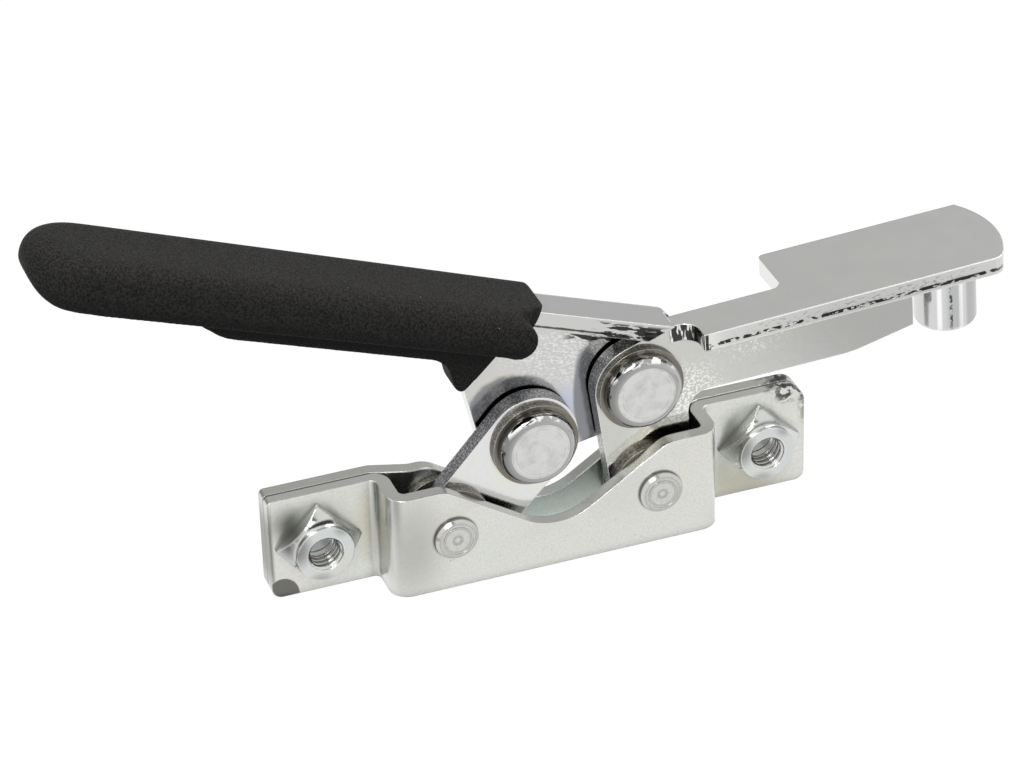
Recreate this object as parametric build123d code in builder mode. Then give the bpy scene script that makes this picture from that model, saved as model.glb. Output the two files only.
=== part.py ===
from build123d import *
from math import acos, atan2, cos, hypot, radians, sin
import os

# Over-centre latch: a two-plate bracket carries a link and a latch arm, and a hand lever joins them.
# Millimetres. Origin: the left screw axis where the weld nut sits on the front plate.
# +X along the bracket to the right, +Y back through the mounting screws, +Z up.
# The rest pose is the released one, with the lever raised.

# Bracket, two stamped plates of the same sheet
BRACKET_HEIGHT = 18.0
BRACKET_SHEET = 2.2
SCREW_SPACING = 74.8
SCREW_EDGE = 8.0
SCREW_HOLE_D = 6.6
FRONT_HAT_MARGIN = 10.4
FRONT_HAT_DEPTH = 7.8
FRONT_BEND_R = 1.0
REAR_JOGGLE_INSET = 6.15
REAR_JOGGLE_RUN = 6.0
REAR_JOGGLE_DEPTH = 2.05
REAR_BEND_R = 2.4
DIP_R = 10.0
DIP_LOW = -1.2
DIP_SLOPE = 33.0
DIP_SHOULDER_R = 5.0
CORNER_TOP_LEFT_R = 0.8
CORNER_LOW_LEFT_R = 1.8
CORNER_TOP_RIGHT_R = 3.0
CORNER_LOW_RIGHT_R = 1.6

# Weld nuts, M6, set point down
NUT_ACROSS_FLATS = 10.0
NUT_HEIGHT = 4.0
NUT_BOSS_D = 9.4
NUT_BOSS_HEIGHT = 1.3
NUT_CORNER_HEIGHT = 0.5
NUT_THREAD_MINOR_D = 5.0
NUT_MOUTH_CHAMFER = 0.5

# Linkage pitches, from pivot to pivot, and the link's raised angle
PIVOT_SPACING = 34.5
PIVOT_HEIGHT = 0.3
LINK_PITCH = 18.95
LEVER_PITCH = 18.9
ARM_PITCH = 18.1
LINK_ANGLE = 39.0

# Bracket pivots
RIVET_D = 6.0
RIVET_HEAD_D = 7.1
RIVET_HEAD_HEIGHT = 1.0
RIVET_EDGE_R = 0.45
RIVET_DIMPLE_D = 1.7
RIVET_DIMPLE_DEPTH = 0.25
RIVET_RING_D = 5.0
RIVET_RING_WIDTH = 0.3
RIVET_RING_DEPTH = 0.12
THRUST_WASHER_D = 14.2
THRUST_WASHER_T = 1.3

# Lever pins
PIN_D = 8.0
PIN_HEAD_D = 12.6
PIN_HEAD_HEIGHT = 2.1
PIN_HEAD_EDGE_R = 1.3
PIN_BUTTON_D = 11.4
PIN_BUTTON_HEIGHT = 1.4
PIN_BUTTON_EDGE_R = 0.6
HEAD_WASHER_D = 14.2
HEAD_WASHER_T = 0.9
SHIM_D = 12.0

# Running clearances
RUN_CLEAR = 0.08
SEAT_CLEAR = 0.05
FACE_CLEAR = 0.04
OPEN_PIVOT_CLEAR = 0.5
STOP_CLEAR = 0.3

# Link, in its own frame: origin on its bracket pivot, x towards the lever pin
PLATE_T = 3.0
LINK_FOOT_R = 7.3
LINK_FOOT_DROP = 2.0
LINK_HEAD_R = 7.7
LINK_HEAD_RISE = 0.5

# Latch arm, in its own frame: origin on its bracket pivot, u along the top plate, v up
ARM_TILT = 2.9
ARM_FOOT_R = 6.9
ARM_EYE_R = 7.5
ARM_TOP_V = 27.4
ARM_APEX_U = 3.6
ARM_THROAT_V = 14.35
ARM_TAIL_RISE_U = 35.3
ARM_TAIL_RISE_V = 13.85
ARM_TAIL_RISE_R = 20.0
ARM_TAIL_END_U = 46.1
ARM_TAIL_END_V = 15.95
ARM_THROAT_R = 3.6

# T-shaped top plate of the arm
TOP_PLATE_T = 3.0
TOP_PLATE_START_U = 4.6
TOP_PLATE_END_U = 62.6
TOP_PLATE_FRONT_Y = -9.0
TOP_PLATE_REAR_Y = 9.1
TOP_PLATE_STEP_U = 25.1
TOP_PLATE_STEP_R = 1.8
TOP_PLATE_CORNER_R = 1.0
TOP_PLATE_TIP_R = 2.2
TOP_PLATE_END_SAG = 2.9
TOP_PLATE_SHOULDER_U = 8.6
TOP_PLATE_RELIEF_R = 2.6

# Locating pin under the top plate
STUD_D = 10.2
STUD_LENGTH = 11.7
STUD_U = 53.75
STUD_Y = 0.3
STUD_EDGE_R = 0.9

# Hand lever, in its own frame: origin on the link pin, u towards the arm, v up from the lever
LEVER_TILT = -19.5
LEVER_SHEET = 3.0
LEVER_TOP_V = 23.3
LEVER_WALL_GAP = 0.6
LEVER_BEND_R = 1.8
LEVER_LEFT_U = -89.9
LEVER_END_REACH = 8.0
LEVER_CROWN_START_U = -6.0
LEVER_CROWN_RISE = 1.7
LEVER_CROWN_LEAN = 5.0
LEVER_LIP_FRONT_Y = -10.7
LEVER_LIP_LOW_V = 19.3
LEVER_LIP_SWEEP_R = 4.5
LEVER_LIP_END_U = -11.8
LEVER_LIP_END_R = 1.6
LEVER_LIP_CORNER_R = 1.0
LEVER_NOTCH_R = 3.6
LEVER_FLANGE_FRONT_Y = -5.75
LEVER_NOSE_END_U = 18.2
LEVER_NOSE_FRONT_Y = -0.9
LEVER_NOSE_R = 2.0
LEVER_WALL_LEFT_U = -55.0
LEVER_WALL_RUN = 18.0
LEVER_WALL_RUN_R = 8.0
LEVER_WALL_LOW_V = 12.7
LEVER_LUG_U = -17.0
LEVER_LUG_R = 6.0
LEVER_HEEL_U = -7.4
LEVER_HEEL_V = -2.5
LEVER_LINK_EYE_R = 5.9
LEVER_ARM_EYE_R = 8.6

# Coating on the hand end of the lever, and the line it was dipped to
COAT_T = 1.5
COAT_END_U = -6.9
COAT_BREAK_U = -6.1
COAT_BREAK_V = 20.0
COAT_LUG_END_U = -14.6
COAT_LUG_END_V = 3.7
COAT_LUG_R = 1.2
COAT_LOBE_R = 2.2


def lean_point(centre, radius, angle):
    """Point on a circle at an angle in radians."""
    return (centre[0] + radius * cos(angle), centre[1] + radius * sin(angle))


def belt_line(first, first_r, second, second_r, side):
    """Ends of the line that touches two circles, on the left (side 1) or right (side -1) of the way."""
    run_x, run_y = second[0] - first[0], second[1] - first[1]
    lean = atan2(run_y, run_x) + side * acos((first_r - second_r) / hypot(run_x, run_y))
    return lean_point(first, first_r, lean), lean_point(second, second_r, lean)


def upright(x, z, tilt, y):
    """Plane facing the front, with its x axis tilted from the row's."""
    return Plane(origin=(x, y, z), x_dir=(cos(radians(tilt)), 0, sin(radians(tilt))), z_dir=(0, -1, 0))


def facing_up(x, z, tilt, v):
    """Plane facing up from a tilted piece, v above the point, with its x axis along the piece."""
    lean = radians(tilt)
    return Plane(
        origin=(x - v * sin(lean), 0, z + v * cos(lean)),
        x_dir=(cos(lean), 0, sin(lean)),
        z_dir=(-sin(lean), 0, cos(lean)),
    )


def turned(point, tilt):
    """Point turned about its frame's origin by the tilt in degrees."""
    lean = radians(tilt)
    return (
        point[0] * cos(lean) - point[1] * sin(lean),
        point[0] * sin(lean) + point[1] * cos(lean),
    )


def corner_near(outline, u, v):
    """Corner of an outline nearest to a place on its own plane."""
    return outline.vertices().sort_by_distance((u, v, 0))[0]


# Depths of the layers, from the front plate's face to the back
mid_x = SCREW_SPACING / 2
bracket_left = -SCREW_EDGE
bracket_right = SCREW_SPACING + SCREW_EDGE
bracket_top = BRACKET_HEIGHT / 2
front_face_y = -FRONT_HAT_DEPTH
front_back_y = front_face_y + BRACKET_SHEET
mount_face_y = 2 * BRACKET_SHEET
rear_back_y = mount_face_y - REAR_JOGGLE_DEPTH
rear_face_y = rear_back_y - BRACKET_SHEET
pocket_mid_y = (front_back_y + rear_face_y) / 2
plate_front_y = pocket_mid_y - PLATE_T / 2
plate_back_y = pocket_mid_y + PLATE_T / 2
wall_front_y = plate_back_y + LEVER_WALL_GAP
wall_back_y = wall_front_y + LEVER_SHEET
shim_t = LEVER_WALL_GAP - 2 * FACE_CLEAR

# Pivot places, from the linkage closed at rest
link_pivot = (mid_x - PIVOT_SPACING / 2, PIVOT_HEIGHT)
arm_pivot = (mid_x + PIVOT_SPACING / 2, PIVOT_HEIGHT)
link_pin_at = lean_point(link_pivot, LINK_PITCH, radians(LINK_ANGLE))
pin_to_arm = (arm_pivot[0] - link_pin_at[0], arm_pivot[1] - link_pin_at[1])
pin_to_arm_run = hypot(*pin_to_arm)
lever_corner = acos(
    (LEVER_PITCH**2 + pin_to_arm_run**2 - ARM_PITCH**2) / (2 * LEVER_PITCH * pin_to_arm_run)
)
lever_pivot_angle = atan2(pin_to_arm[1], pin_to_arm[0]) + lever_corner
arm_pin_at = lean_point(link_pin_at, LEVER_PITCH, lever_pivot_angle)
arm_pivot_angle = atan2(arm_pin_at[1] - arm_pivot[1], arm_pin_at[0] - arm_pivot[0])

os.makedirs("parts", exist_ok=True)


def dip_outline():
    """Scalloped upper outline of both bracket plates, as the area above it, in the row's XZ."""
    slope = radians(DIP_SLOPE)
    arc_z = DIP_LOW + DIP_R
    touch_x, touch_z = DIP_R * sin(slope), arc_z - DIP_R * cos(slope)
    shoulder_x = touch_x + (bracket_top - touch_z) / (sin(slope) / cos(slope))
    above = bracket_top + DIP_R
    with BuildSketch(upright(0, 0, 0, mount_face_y + BRACKET_SHEET)) as dip:
        with BuildLine():
            Polyline(
                (mid_x + touch_x, touch_z), (mid_x + shoulder_x, bracket_top),
                (bracket_right, bracket_top), (bracket_right, above), (bracket_left, above),
                (bracket_left, bracket_top), (mid_x - shoulder_x, bracket_top),
                (mid_x - touch_x, touch_z),
            )
            ThreePointArc(
                (mid_x - touch_x, touch_z), (mid_x, DIP_LOW), (mid_x + touch_x, touch_z)
            )
        make_face()
        fillet(
            [corner_near(dip, mid_x + side * shoulder_x, bracket_top) for side in (-1, 1)],
            DIP_SHOULDER_R,
        )
    return dip.sketch


def round_flange_corners(plate):
    """Round the four outer corners of a bracket plate, each to its own radius."""
    for x, z, radius in (
        (bracket_left, bracket_top, CORNER_TOP_LEFT_R),
        (bracket_left, -bracket_top, CORNER_LOW_LEFT_R),
        (bracket_right, bracket_top, CORNER_TOP_RIGHT_R),
        (bracket_right, -bracket_top, CORNER_LOW_RIGHT_R),
    ):
        corner = plate.edges().filter_by(Axis.Y).sort_by_distance((x, BRACKET_SHEET, z))[0]
        fillet(corner, radius)


def bracket_holes():
    """Outlines of the two screw holes and the two rivet holes, which both plates share."""
    with BuildSketch(upright(0, 0, 0, mount_face_y + BRACKET_SHEET)) as holes:
        with Locations((0, 0), (SCREW_SPACING, 0)):
            Circle(SCREW_HOLE_D / 2)
        with Locations(link_pivot, arm_pivot):
            Circle(RIVET_D / 2 + SEAT_CLEAR)
    return holes.sketch


# Front plate: a hat section with square walls, its middle stamped forward
hat_left = link_pivot[0] - FRONT_HAT_MARGIN
hat_right = arm_pivot[0] + FRONT_HAT_MARGIN
front_outer_r = FRONT_BEND_R + BRACKET_SHEET
with BuildPart() as bracket_front_plate:
    with BuildSketch(Plane.XY.offset(-bracket_top)):
        with BuildLine():
            Polyline(
                (bracket_left, 0), (hat_left, 0), (hat_left, front_face_y),
                (hat_right, front_face_y), (hat_right, 0), (bracket_right, 0),
                (bracket_right, BRACKET_SHEET), (hat_right - BRACKET_SHEET, BRACKET_SHEET),
                (hat_right - BRACKET_SHEET, front_back_y), (hat_left + BRACKET_SHEET, front_back_y),
                (hat_left + BRACKET_SHEET, BRACKET_SHEET), (bracket_left, BRACKET_SHEET), close=True,
            )
        make_face()
    extrude(amount=BRACKET_HEIGHT)
    upright_edges = bracket_front_plate.edges().filter_by(Axis.Z)
    fillet([upright_edges.sort_by_distance((x, y, 0))[0] for x, y in (
        (hat_left, front_face_y), (hat_right, front_face_y),
        (hat_left + BRACKET_SHEET, BRACKET_SHEET), (hat_right - BRACKET_SHEET, BRACKET_SHEET),
    )], front_outer_r)
    upright_edges = bracket_front_plate.edges().filter_by(Axis.Z)
    fillet([upright_edges.sort_by_distance((x, y, 0))[0] for x, y in (
        (hat_left, 0), (hat_right, 0),
        (hat_left + BRACKET_SHEET, front_back_y), (hat_right - BRACKET_SHEET, front_back_y),
    )], FRONT_BEND_R)
    round_flange_corners(bracket_front_plate)
    extrude(dip_outline(), amount=2 * BRACKET_HEIGHT, mode=Mode.SUBTRACT)
    extrude(bracket_holes(), amount=2 * BRACKET_HEIGHT, mode=Mode.SUBTRACT)
bracket_front_plate.part.label = "bracket_front_plate"
export_step(bracket_front_plate.part, "parts/bracket_front_plate.step")

# Rear plate: lies on the front plate's flanges, its middle eased forward to make the pocket
joggle_left = hat_left + REAR_JOGGLE_INSET
joggle_right = hat_right - REAR_JOGGLE_INSET
with BuildPart() as bracket_rear_plate:
    with BuildSketch(Plane.XY.offset(-bracket_top)):
        with BuildLine():
            back = FilletPolyline(
                (bracket_left, mount_face_y), (joggle_left - REAR_JOGGLE_RUN, mount_face_y),
                (joggle_left, rear_back_y), (joggle_right, rear_back_y),
                (joggle_right + REAR_JOGGLE_RUN, mount_face_y), (bracket_right, mount_face_y),
                radius=REAR_BEND_R,
            )
            offset(back, amount=BRACKET_SHEET, side=Side.RIGHT, closed=True)
        make_face()
    extrude(amount=BRACKET_HEIGHT)
    round_flange_corners(bracket_rear_plate)
    extrude(dip_outline(), amount=2 * BRACKET_HEIGHT, mode=Mode.SUBTRACT)
    extrude(bracket_holes(), amount=2 * BRACKET_HEIGHT, mode=Mode.SUBTRACT)
bracket_rear_plate.part.label = "bracket_rear_plate"
export_step(bracket_rear_plate.part, "parts/bracket_rear_plate.step")

# Weld nuts: square with coned-off corners and a round boss, bored to the thread's minor diameter
for side, screw_x in (("left", 0), ("right", SCREW_SPACING)):
    with BuildPart() as weld_nut:
        with BuildSketch(upright(screw_x, 0, 0, 0)):
            Rectangle(NUT_ACROSS_FLATS, NUT_ACROSS_FLATS, rotation=45)
            Circle(NUT_THREAD_MINOR_D / 2, mode=Mode.SUBTRACT)
        extrude(amount=NUT_HEIGHT)
        boss_r = NUT_BOSS_D / 2
        corner_r = NUT_ACROSS_FLATS * 2**0.5 / 2
        thread_r = NUT_THREAD_MINOR_D / 2
        with BuildSketch(Plane(origin=(screw_x, 0, 0), x_dir=(1, 0, 0), z_dir=(0, 0, 1))):
            Polygon(
                (0, 0), (corner_r, 0), (corner_r, -NUT_CORNER_HEIGHT),
                (boss_r, NUT_BOSS_HEIGHT - NUT_HEIGHT), (boss_r, -NUT_HEIGHT),
                (thread_r + NUT_MOUTH_CHAMFER, -NUT_HEIGHT),
                (thread_r, NUT_MOUTH_CHAMFER - NUT_HEIGHT), (0, NUT_MOUTH_CHAMFER - NUT_HEIGHT),
                align=None,
            )
        revolve(axis=Axis((screw_x, 0, 0), (0, 1, 0)), mode=Mode.INTERSECT)
    weld_nut.part.label = f"weld_nut_{side}"
    export_step(weld_nut.part, f"parts/weld_nut_{side}.step")


def rivet_head_profile():
    """Half section of a pivot rivet, from its front face to its rear face, radius along x."""
    front_y = front_face_y - RIVET_HEAD_HEIGHT
    rear_y = rear_back_y + RIVET_HEAD_HEIGHT
    shank_r, head_r = RIVET_D / 2, RIVET_HEAD_D / 2
    ring_in, ring_out = (RIVET_RING_D - RIVET_RING_WIDTH) / 2, (RIVET_RING_D + RIVET_RING_WIDTH) / 2
    return (
        (0, front_y + RIVET_DIMPLE_DEPTH), (RIVET_DIMPLE_D / 2, front_y),
        (ring_in, front_y), (ring_in, front_y + RIVET_RING_DEPTH),
        (ring_out, front_y + RIVET_RING_DEPTH), (ring_out, front_y),
        (head_r - RIVET_EDGE_R, front_y), (head_r, front_y + RIVET_EDGE_R),
        (head_r, front_face_y), (shank_r, front_face_y), (shank_r, rear_back_y),
        (head_r, rear_back_y), (head_r, rear_y - RIVET_EDGE_R), (head_r - RIVET_EDGE_R, rear_y),
        (0, rear_y),
    )


# Pivot rivets through both plates, each headed front and back
for side, (pivot_x, pivot_z) in (("left", link_pivot), ("right", arm_pivot)):
    with BuildPart() as pivot_rivet:
        with BuildSketch(Plane(origin=(pivot_x, 0, pivot_z), x_dir=(1, 0, 0), z_dir=(0, 0, 1))):
            Polygon(*rivet_head_profile(), align=None)
        revolve(axis=Axis((pivot_x, 0, pivot_z), (0, 1, 0)))
    pivot_rivet.part.label = f"pivot_rivet_{side}"
    export_step(pivot_rivet.part, f"parts/pivot_rivet_{side}.step")

# Thrust washers on the rivets, in front of and behind the link's and the arm's feet
for side, pivot in (("left", link_pivot), ("right", arm_pivot)):
    for place, washer_back_y in (
        ("front", plate_front_y - FACE_CLEAR), ("rear", plate_back_y + FACE_CLEAR + THRUST_WASHER_T)
    ):
        with BuildPart() as thrust_washer:
            with BuildSketch(upright(*pivot, 0, washer_back_y)):
                Circle(THRUST_WASHER_D / 2)
                Circle(RIVET_D / 2 + SEAT_CLEAR, mode=Mode.SUBTRACT)
            extrude(amount=THRUST_WASHER_T)
        thrust_washer.part.label = f"thrust_washer_{side}_{place}"
        export_step(thrust_washer.part, f"parts/thrust_washer_{side}_{place}.step")

# Link: a flat bar with full-round ends, its pivots a little off its middle line
with BuildPart() as link_plate:
    with BuildSketch(upright(*link_pivot, LINK_ANGLE, plate_back_y)):
        foot, head = (0, -LINK_FOOT_DROP), (LINK_PITCH, LINK_HEAD_RISE)
        foot_high, head_high = belt_line(foot, LINK_FOOT_R, head, LINK_HEAD_R, 1)
        foot_low, head_low = belt_line(foot, LINK_FOOT_R, head, LINK_HEAD_R, -1)
        Polygon(foot_high, foot, foot_low, head_low, head, head_high, align=None)
        with Locations(foot):
            Circle(LINK_FOOT_R)
        with Locations(head):
            Circle(LINK_HEAD_R)
        Circle(RIVET_D / 2 + RUN_CLEAR, mode=Mode.SUBTRACT)
        with Locations((LINK_PITCH, 0)):
            Circle(PIN_D / 2 + RUN_CLEAR, mode=Mode.SUBTRACT)
    extrude(amount=PLATE_T)
link_plate.part.label = "link_plate"
export_step(link_plate.part, "parts/link_plate.step")


def arm_place(point):
    """Row's XZ place of a point in the arm's frame."""
    x, z = turned(point, ARM_TILT)
    return (arm_pivot[0] + x, arm_pivot[1] + z)


def lever_place(point):
    """Lever's frame place of a point in the row's XZ."""
    return turned((point[0] - link_pin_at[0], point[1] - link_pin_at[1]), -LEVER_TILT)


# Latch arm plate: foot, pin eye, peak and a tail that runs under the top plate
arm_eye = lean_point((0, 0), ARM_PITCH, arm_pivot_angle - radians(ARM_TILT))
arm_ramp_touch = belt_line((ARM_APEX_U, ARM_TOP_V), 0, arm_eye, ARM_EYE_R, -1)[1]
tail_top_v = ARM_TOP_V - TOP_PLATE_T
with BuildPart() as latch_arm_plate:
    with BuildSketch(upright(*arm_pivot, ARM_TILT, plate_back_y)) as arm_outline:
        eye_touch, foot_touch = belt_line(arm_eye, ARM_EYE_R, (0, 0), ARM_FOOT_R, -1)
        Polygon(
            (ARM_APEX_U, ARM_TOP_V), arm_ramp_touch, arm_eye, eye_touch, foot_touch, (0, 0),
            (ARM_FOOT_R, 0), (ARM_FOOT_R, ARM_THROAT_V), (ARM_TAIL_RISE_U, ARM_TAIL_RISE_V),
            (ARM_TAIL_END_U, ARM_TAIL_END_V), (ARM_TAIL_END_U, tail_top_v),
            (TOP_PLATE_START_U - SEAT_CLEAR, tail_top_v), (TOP_PLATE_START_U - SEAT_CLEAR, ARM_TOP_V),
            align=None,
        )
        Circle(ARM_FOOT_R)
        with Locations(arm_eye):
            Circle(ARM_EYE_R)
        fillet(corner_near(arm_outline, ARM_FOOT_R, ARM_THROAT_V), ARM_THROAT_R)
        fillet(corner_near(arm_outline, ARM_TAIL_RISE_U, ARM_TAIL_RISE_V), ARM_TAIL_RISE_R)
        Circle(RIVET_D / 2 + RUN_CLEAR, mode=Mode.SUBTRACT)
        with Locations(arm_eye):
            Circle(PIN_D / 2 + SEAT_CLEAR, mode=Mode.SUBTRACT)
    extrude(amount=PLATE_T)
latch_arm_plate.part.label = "latch_arm_plate"
export_step(latch_arm_plate.part, "parts/latch_arm_plate.step")

# T-shaped top plate, seated on the arm plate's tail and butted against its peak
with BuildPart() as latch_top_plate:
    with BuildSketch(facing_up(*arm_pivot, ARM_TILT, tail_top_v)) as top_outline:
        with BuildLine():
            Polyline(
                (TOP_PLATE_END_U - TOP_PLATE_END_SAG, TOP_PLATE_REAR_Y),
                (TOP_PLATE_STEP_U, TOP_PLATE_REAR_Y), (TOP_PLATE_STEP_U, plate_back_y),
                (TOP_PLATE_START_U, plate_back_y), (TOP_PLATE_START_U, plate_front_y),
                (TOP_PLATE_SHOULDER_U, plate_front_y), (TOP_PLATE_SHOULDER_U, TOP_PLATE_FRONT_Y),
                (TOP_PLATE_END_U - TOP_PLATE_END_SAG, TOP_PLATE_FRONT_Y),
            )
            ThreePointArc(
                (TOP_PLATE_END_U - TOP_PLATE_END_SAG, TOP_PLATE_FRONT_Y),
                (TOP_PLATE_END_U, (TOP_PLATE_FRONT_Y + TOP_PLATE_REAR_Y) / 2),
                (TOP_PLATE_END_U - TOP_PLATE_END_SAG, TOP_PLATE_REAR_Y),
            )
        make_face()
        fillet(corner_near(top_outline, TOP_PLATE_STEP_U, plate_back_y), TOP_PLATE_STEP_R)
        fillet(corner_near(top_outline, TOP_PLATE_SHOULDER_U, plate_front_y), TOP_PLATE_RELIEF_R)
        fillet(corner_near(top_outline, TOP_PLATE_STEP_U, TOP_PLATE_REAR_Y), TOP_PLATE_CORNER_R)
        fillet(
            corner_near(top_outline, TOP_PLATE_END_U - TOP_PLATE_END_SAG, TOP_PLATE_FRONT_Y),
            TOP_PLATE_TIP_R,
        )
    extrude(amount=TOP_PLATE_T)
latch_top_plate.part.label = "latch_top_plate"
export_step(latch_top_plate.part, "parts/latch_top_plate.step")

# Locating stud under the top plate
with BuildPart() as latch_stud:
    with BuildSketch(facing_up(*arm_pivot, ARM_TILT, tail_top_v - STUD_LENGTH)):
        with Locations((STUD_U, STUD_Y)):
            Circle(STUD_D / 2)
    extrude(amount=STUD_LENGTH)
    fillet(latch_stud.edges().sort_by(Axis.Z)[0], STUD_EDGE_R)
latch_stud.part.label = "latch_stud"
export_step(latch_stud.part, "parts/latch_stud.step")

# Places in the lever's own frame
lever_arm_eye = lean_point((0, 0), LEVER_PITCH, lever_pivot_angle - radians(LEVER_TILT))
lever_side = upright(*link_pin_at, LEVER_TILT, wall_back_y)
lever_plan = facing_up(*link_pin_at, LEVER_TILT, LEVER_TOP_V)


def lever_outline(inset):
    """Plan of the lever's trough, rounded at the hand end, with every side moved in by the inset."""
    right_u, end_u = LEVER_NOSE_END_U + inset, LEVER_LEFT_U + LEVER_END_REACH
    mid_y = (LEVER_LIP_FRONT_Y + wall_back_y) / 2
    half_width = (wall_back_y - LEVER_LIP_FRONT_Y) / 2 - inset
    with BuildSketch(lever_plan.offset(LEVER_TOP_V)) as outline:
        with Locations(((end_u + right_u) / 2, mid_y)):
            Rectangle(right_u - end_u, 2 * half_width)
        with Locations((end_u, mid_y)):
            Ellipse(LEVER_END_REACH - inset, half_width)
        fillet(corner_near(outline, right_u, mid_y + half_width), LEVER_NOSE_R)
    return outline.sketch


def lever_trough(inset):
    """Solid between the lever's top and its lip's edge, with every side moved in by the inset."""
    left_u, right_u = LEVER_LEFT_U + inset, LEVER_NOSE_END_U + inset
    top_v, low_v = LEVER_TOP_V - inset, LEVER_LIP_LOW_V - abs(inset)
    with BuildPart() as trough:
        with BuildSketch(lever_side) as side_view:
            Polygon(
                (right_u, low_v), (right_u, top_v), (LEVER_CROWN_START_U, top_v),
                (left_u, top_v + LEVER_CROWN_RISE), (left_u, low_v), align=None,
            )
            fillet(corner_near(side_view, left_u, low_v), LEVER_LIP_SWEEP_R - min(inset, 0))
        extrude(amount=2 * LEVER_TOP_V, both=True)
        extrude(lever_outline(inset), amount=-3 * LEVER_TOP_V, mode=Mode.INTERSECT)
    return trough


def lever_wall(skin):
    """Wall that carries the pins, with its outline and faces set out by the skin."""
    wall_top_v = LEVER_TOP_V - LEVER_SHEET
    heel = (LEVER_HEEL_U, LEVER_HEEL_V)
    nose = (LEVER_NOSE_END_U, wall_top_v)
    heel_touch = belt_line(heel, 0, (0, 0), LEVER_LINK_EYE_R, -1)[1]
    link_touch, arm_touch = belt_line((0, 0), LEVER_LINK_EYE_R, lever_arm_eye, LEVER_ARM_EYE_R, -1)
    nose_touch = belt_line(lever_arm_eye, LEVER_ARM_EYE_R, nose, 0, -1)[0]
    with BuildPart() as wall:
        with BuildSketch(lever_side.offset(-skin)) as wall_outline:
            Polygon(
                (LEVER_WALL_LEFT_U - LEVER_WALL_RUN, wall_top_v), (LEVER_WALL_LEFT_U, LEVER_WALL_LOW_V),
                (LEVER_LUG_U, LEVER_WALL_LOW_V), heel, heel_touch, (0, 0), link_touch, arm_touch,
                lever_arm_eye, nose_touch, nose, align=None,
            )
            Circle(LEVER_LINK_EYE_R)
            with Locations(lever_arm_eye):
                Circle(LEVER_ARM_EYE_R)
            fillet(corner_near(wall_outline, LEVER_LUG_U, LEVER_WALL_LOW_V), LEVER_LUG_R)
            fillet(corner_near(wall_outline, LEVER_WALL_LEFT_U, LEVER_WALL_LOW_V), LEVER_WALL_RUN_R)
            if skin:
                offset(amount=skin)
        extrude(amount=LEVER_SHEET + 2 * skin)
        extrude(lever_outline(-skin), amount=-3 * LEVER_TOP_V, mode=Mode.INTERSECT)
    return wall


def corner_scrap(plane, u, v, radius):
    """What a round of that radius takes off a right-hand lower corner in a view of the lever."""
    with BuildSketch(plane) as scrap:
        with Locations((u, v + radius / 2)):
            Rectangle(2 * radius, radius)
        with Locations((u - radius, v + radius)):
            Circle(radius, mode=Mode.SUBTRACT)
    return scrap.sketch


def mitre_place(v):
    """Place at a height on the flange's mitred end, which faces the arm's ramp."""
    return (flange_end_u + (v - flange_low_v) * cos(ramp_lean) / sin(ramp_lean), v)


def lever_form(skin):
    """Stamped lever before its holes, with every face set out by the skin."""
    lip_end_u, flange_front_y = LEVER_LIP_END_U + skin, LEVER_FLANGE_FRONT_Y - skin
    front_y, far_u = 2 * LEVER_LIP_FRONT_Y, 2 * LEVER_NOSE_END_U
    high_plan = lever_plan.offset(LEVER_TOP_V)
    outer, hollow, wall = lever_trough(-skin), lever_trough(LEVER_SHEET + skin), lever_wall(skin)
    with BuildPart() as form:
        add(outer.part)
        crown = form.faces().filter_by(
            lambda face: face.normal_at().get_angle(lever_plan.z_dir) < LEVER_CROWN_LEAN
        )
        fillet(crown.edges().filter_by(Axis.Y, reverse=True), LEVER_BEND_R + skin)
        add(hollow.part, mode=Mode.SUBTRACT)
        add(wall.part)
        with BuildSketch(high_plan) as notch:
            Polygon(
                (lip_end_u, front_y), (far_u, front_y), (far_u, flange_front_y),
                (lip_end_u, flange_front_y), align=None,
            )
            fillet(corner_near(notch, lip_end_u, flange_front_y), LEVER_NOTCH_R - skin)
        extrude(amount=-3 * LEVER_TOP_V, mode=Mode.SUBTRACT)
        with BuildSketch(lever_side.offset(wall_back_y - LEVER_NOSE_FRONT_Y)):
            Polygon(
                mitre_place(0), mitre_place(2 * LEVER_TOP_V), (far_u, 2 * LEVER_TOP_V), (far_u, 0),
                align=None,
            )
        extrude(amount=LEVER_TOP_V, mode=Mode.SUBTRACT)
        lip_side = lever_side.offset(wall_back_y - flange_front_y)
        low_scrap = corner_scrap(lip_side, lip_end_u, LEVER_LIP_LOW_V - skin, LEVER_LIP_END_R + skin)
        extrude(low_scrap, amount=LEVER_TOP_V, mode=Mode.SUBTRACT)
        front_scrap = corner_scrap(
            high_plan, lip_end_u, LEVER_LIP_FRONT_Y - skin, LEVER_LIP_CORNER_R + skin
        )
        extrude(front_scrap, amount=-3 * LEVER_TOP_V, mode=Mode.SUBTRACT)
    return form


# The flange stops short of the arm's ramp, which it meets as the open stop
ramp_foot, ramp_peak = (
    lever_place(arm_place(point)) for point in (arm_ramp_touch, (ARM_APEX_U, ARM_TOP_V))
)
ramp_lean = atan2(ramp_peak[1] - ramp_foot[1], ramp_peak[0] - ramp_foot[0])
flange_low_v = LEVER_TOP_V - LEVER_SHEET
flange_end_u = (
    ramp_peak[0] - (ramp_peak[1] - flange_low_v) * cos(ramp_lean) / sin(ramp_lean)
    - STOP_CLEAR / sin(ramp_lean)
)

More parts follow.
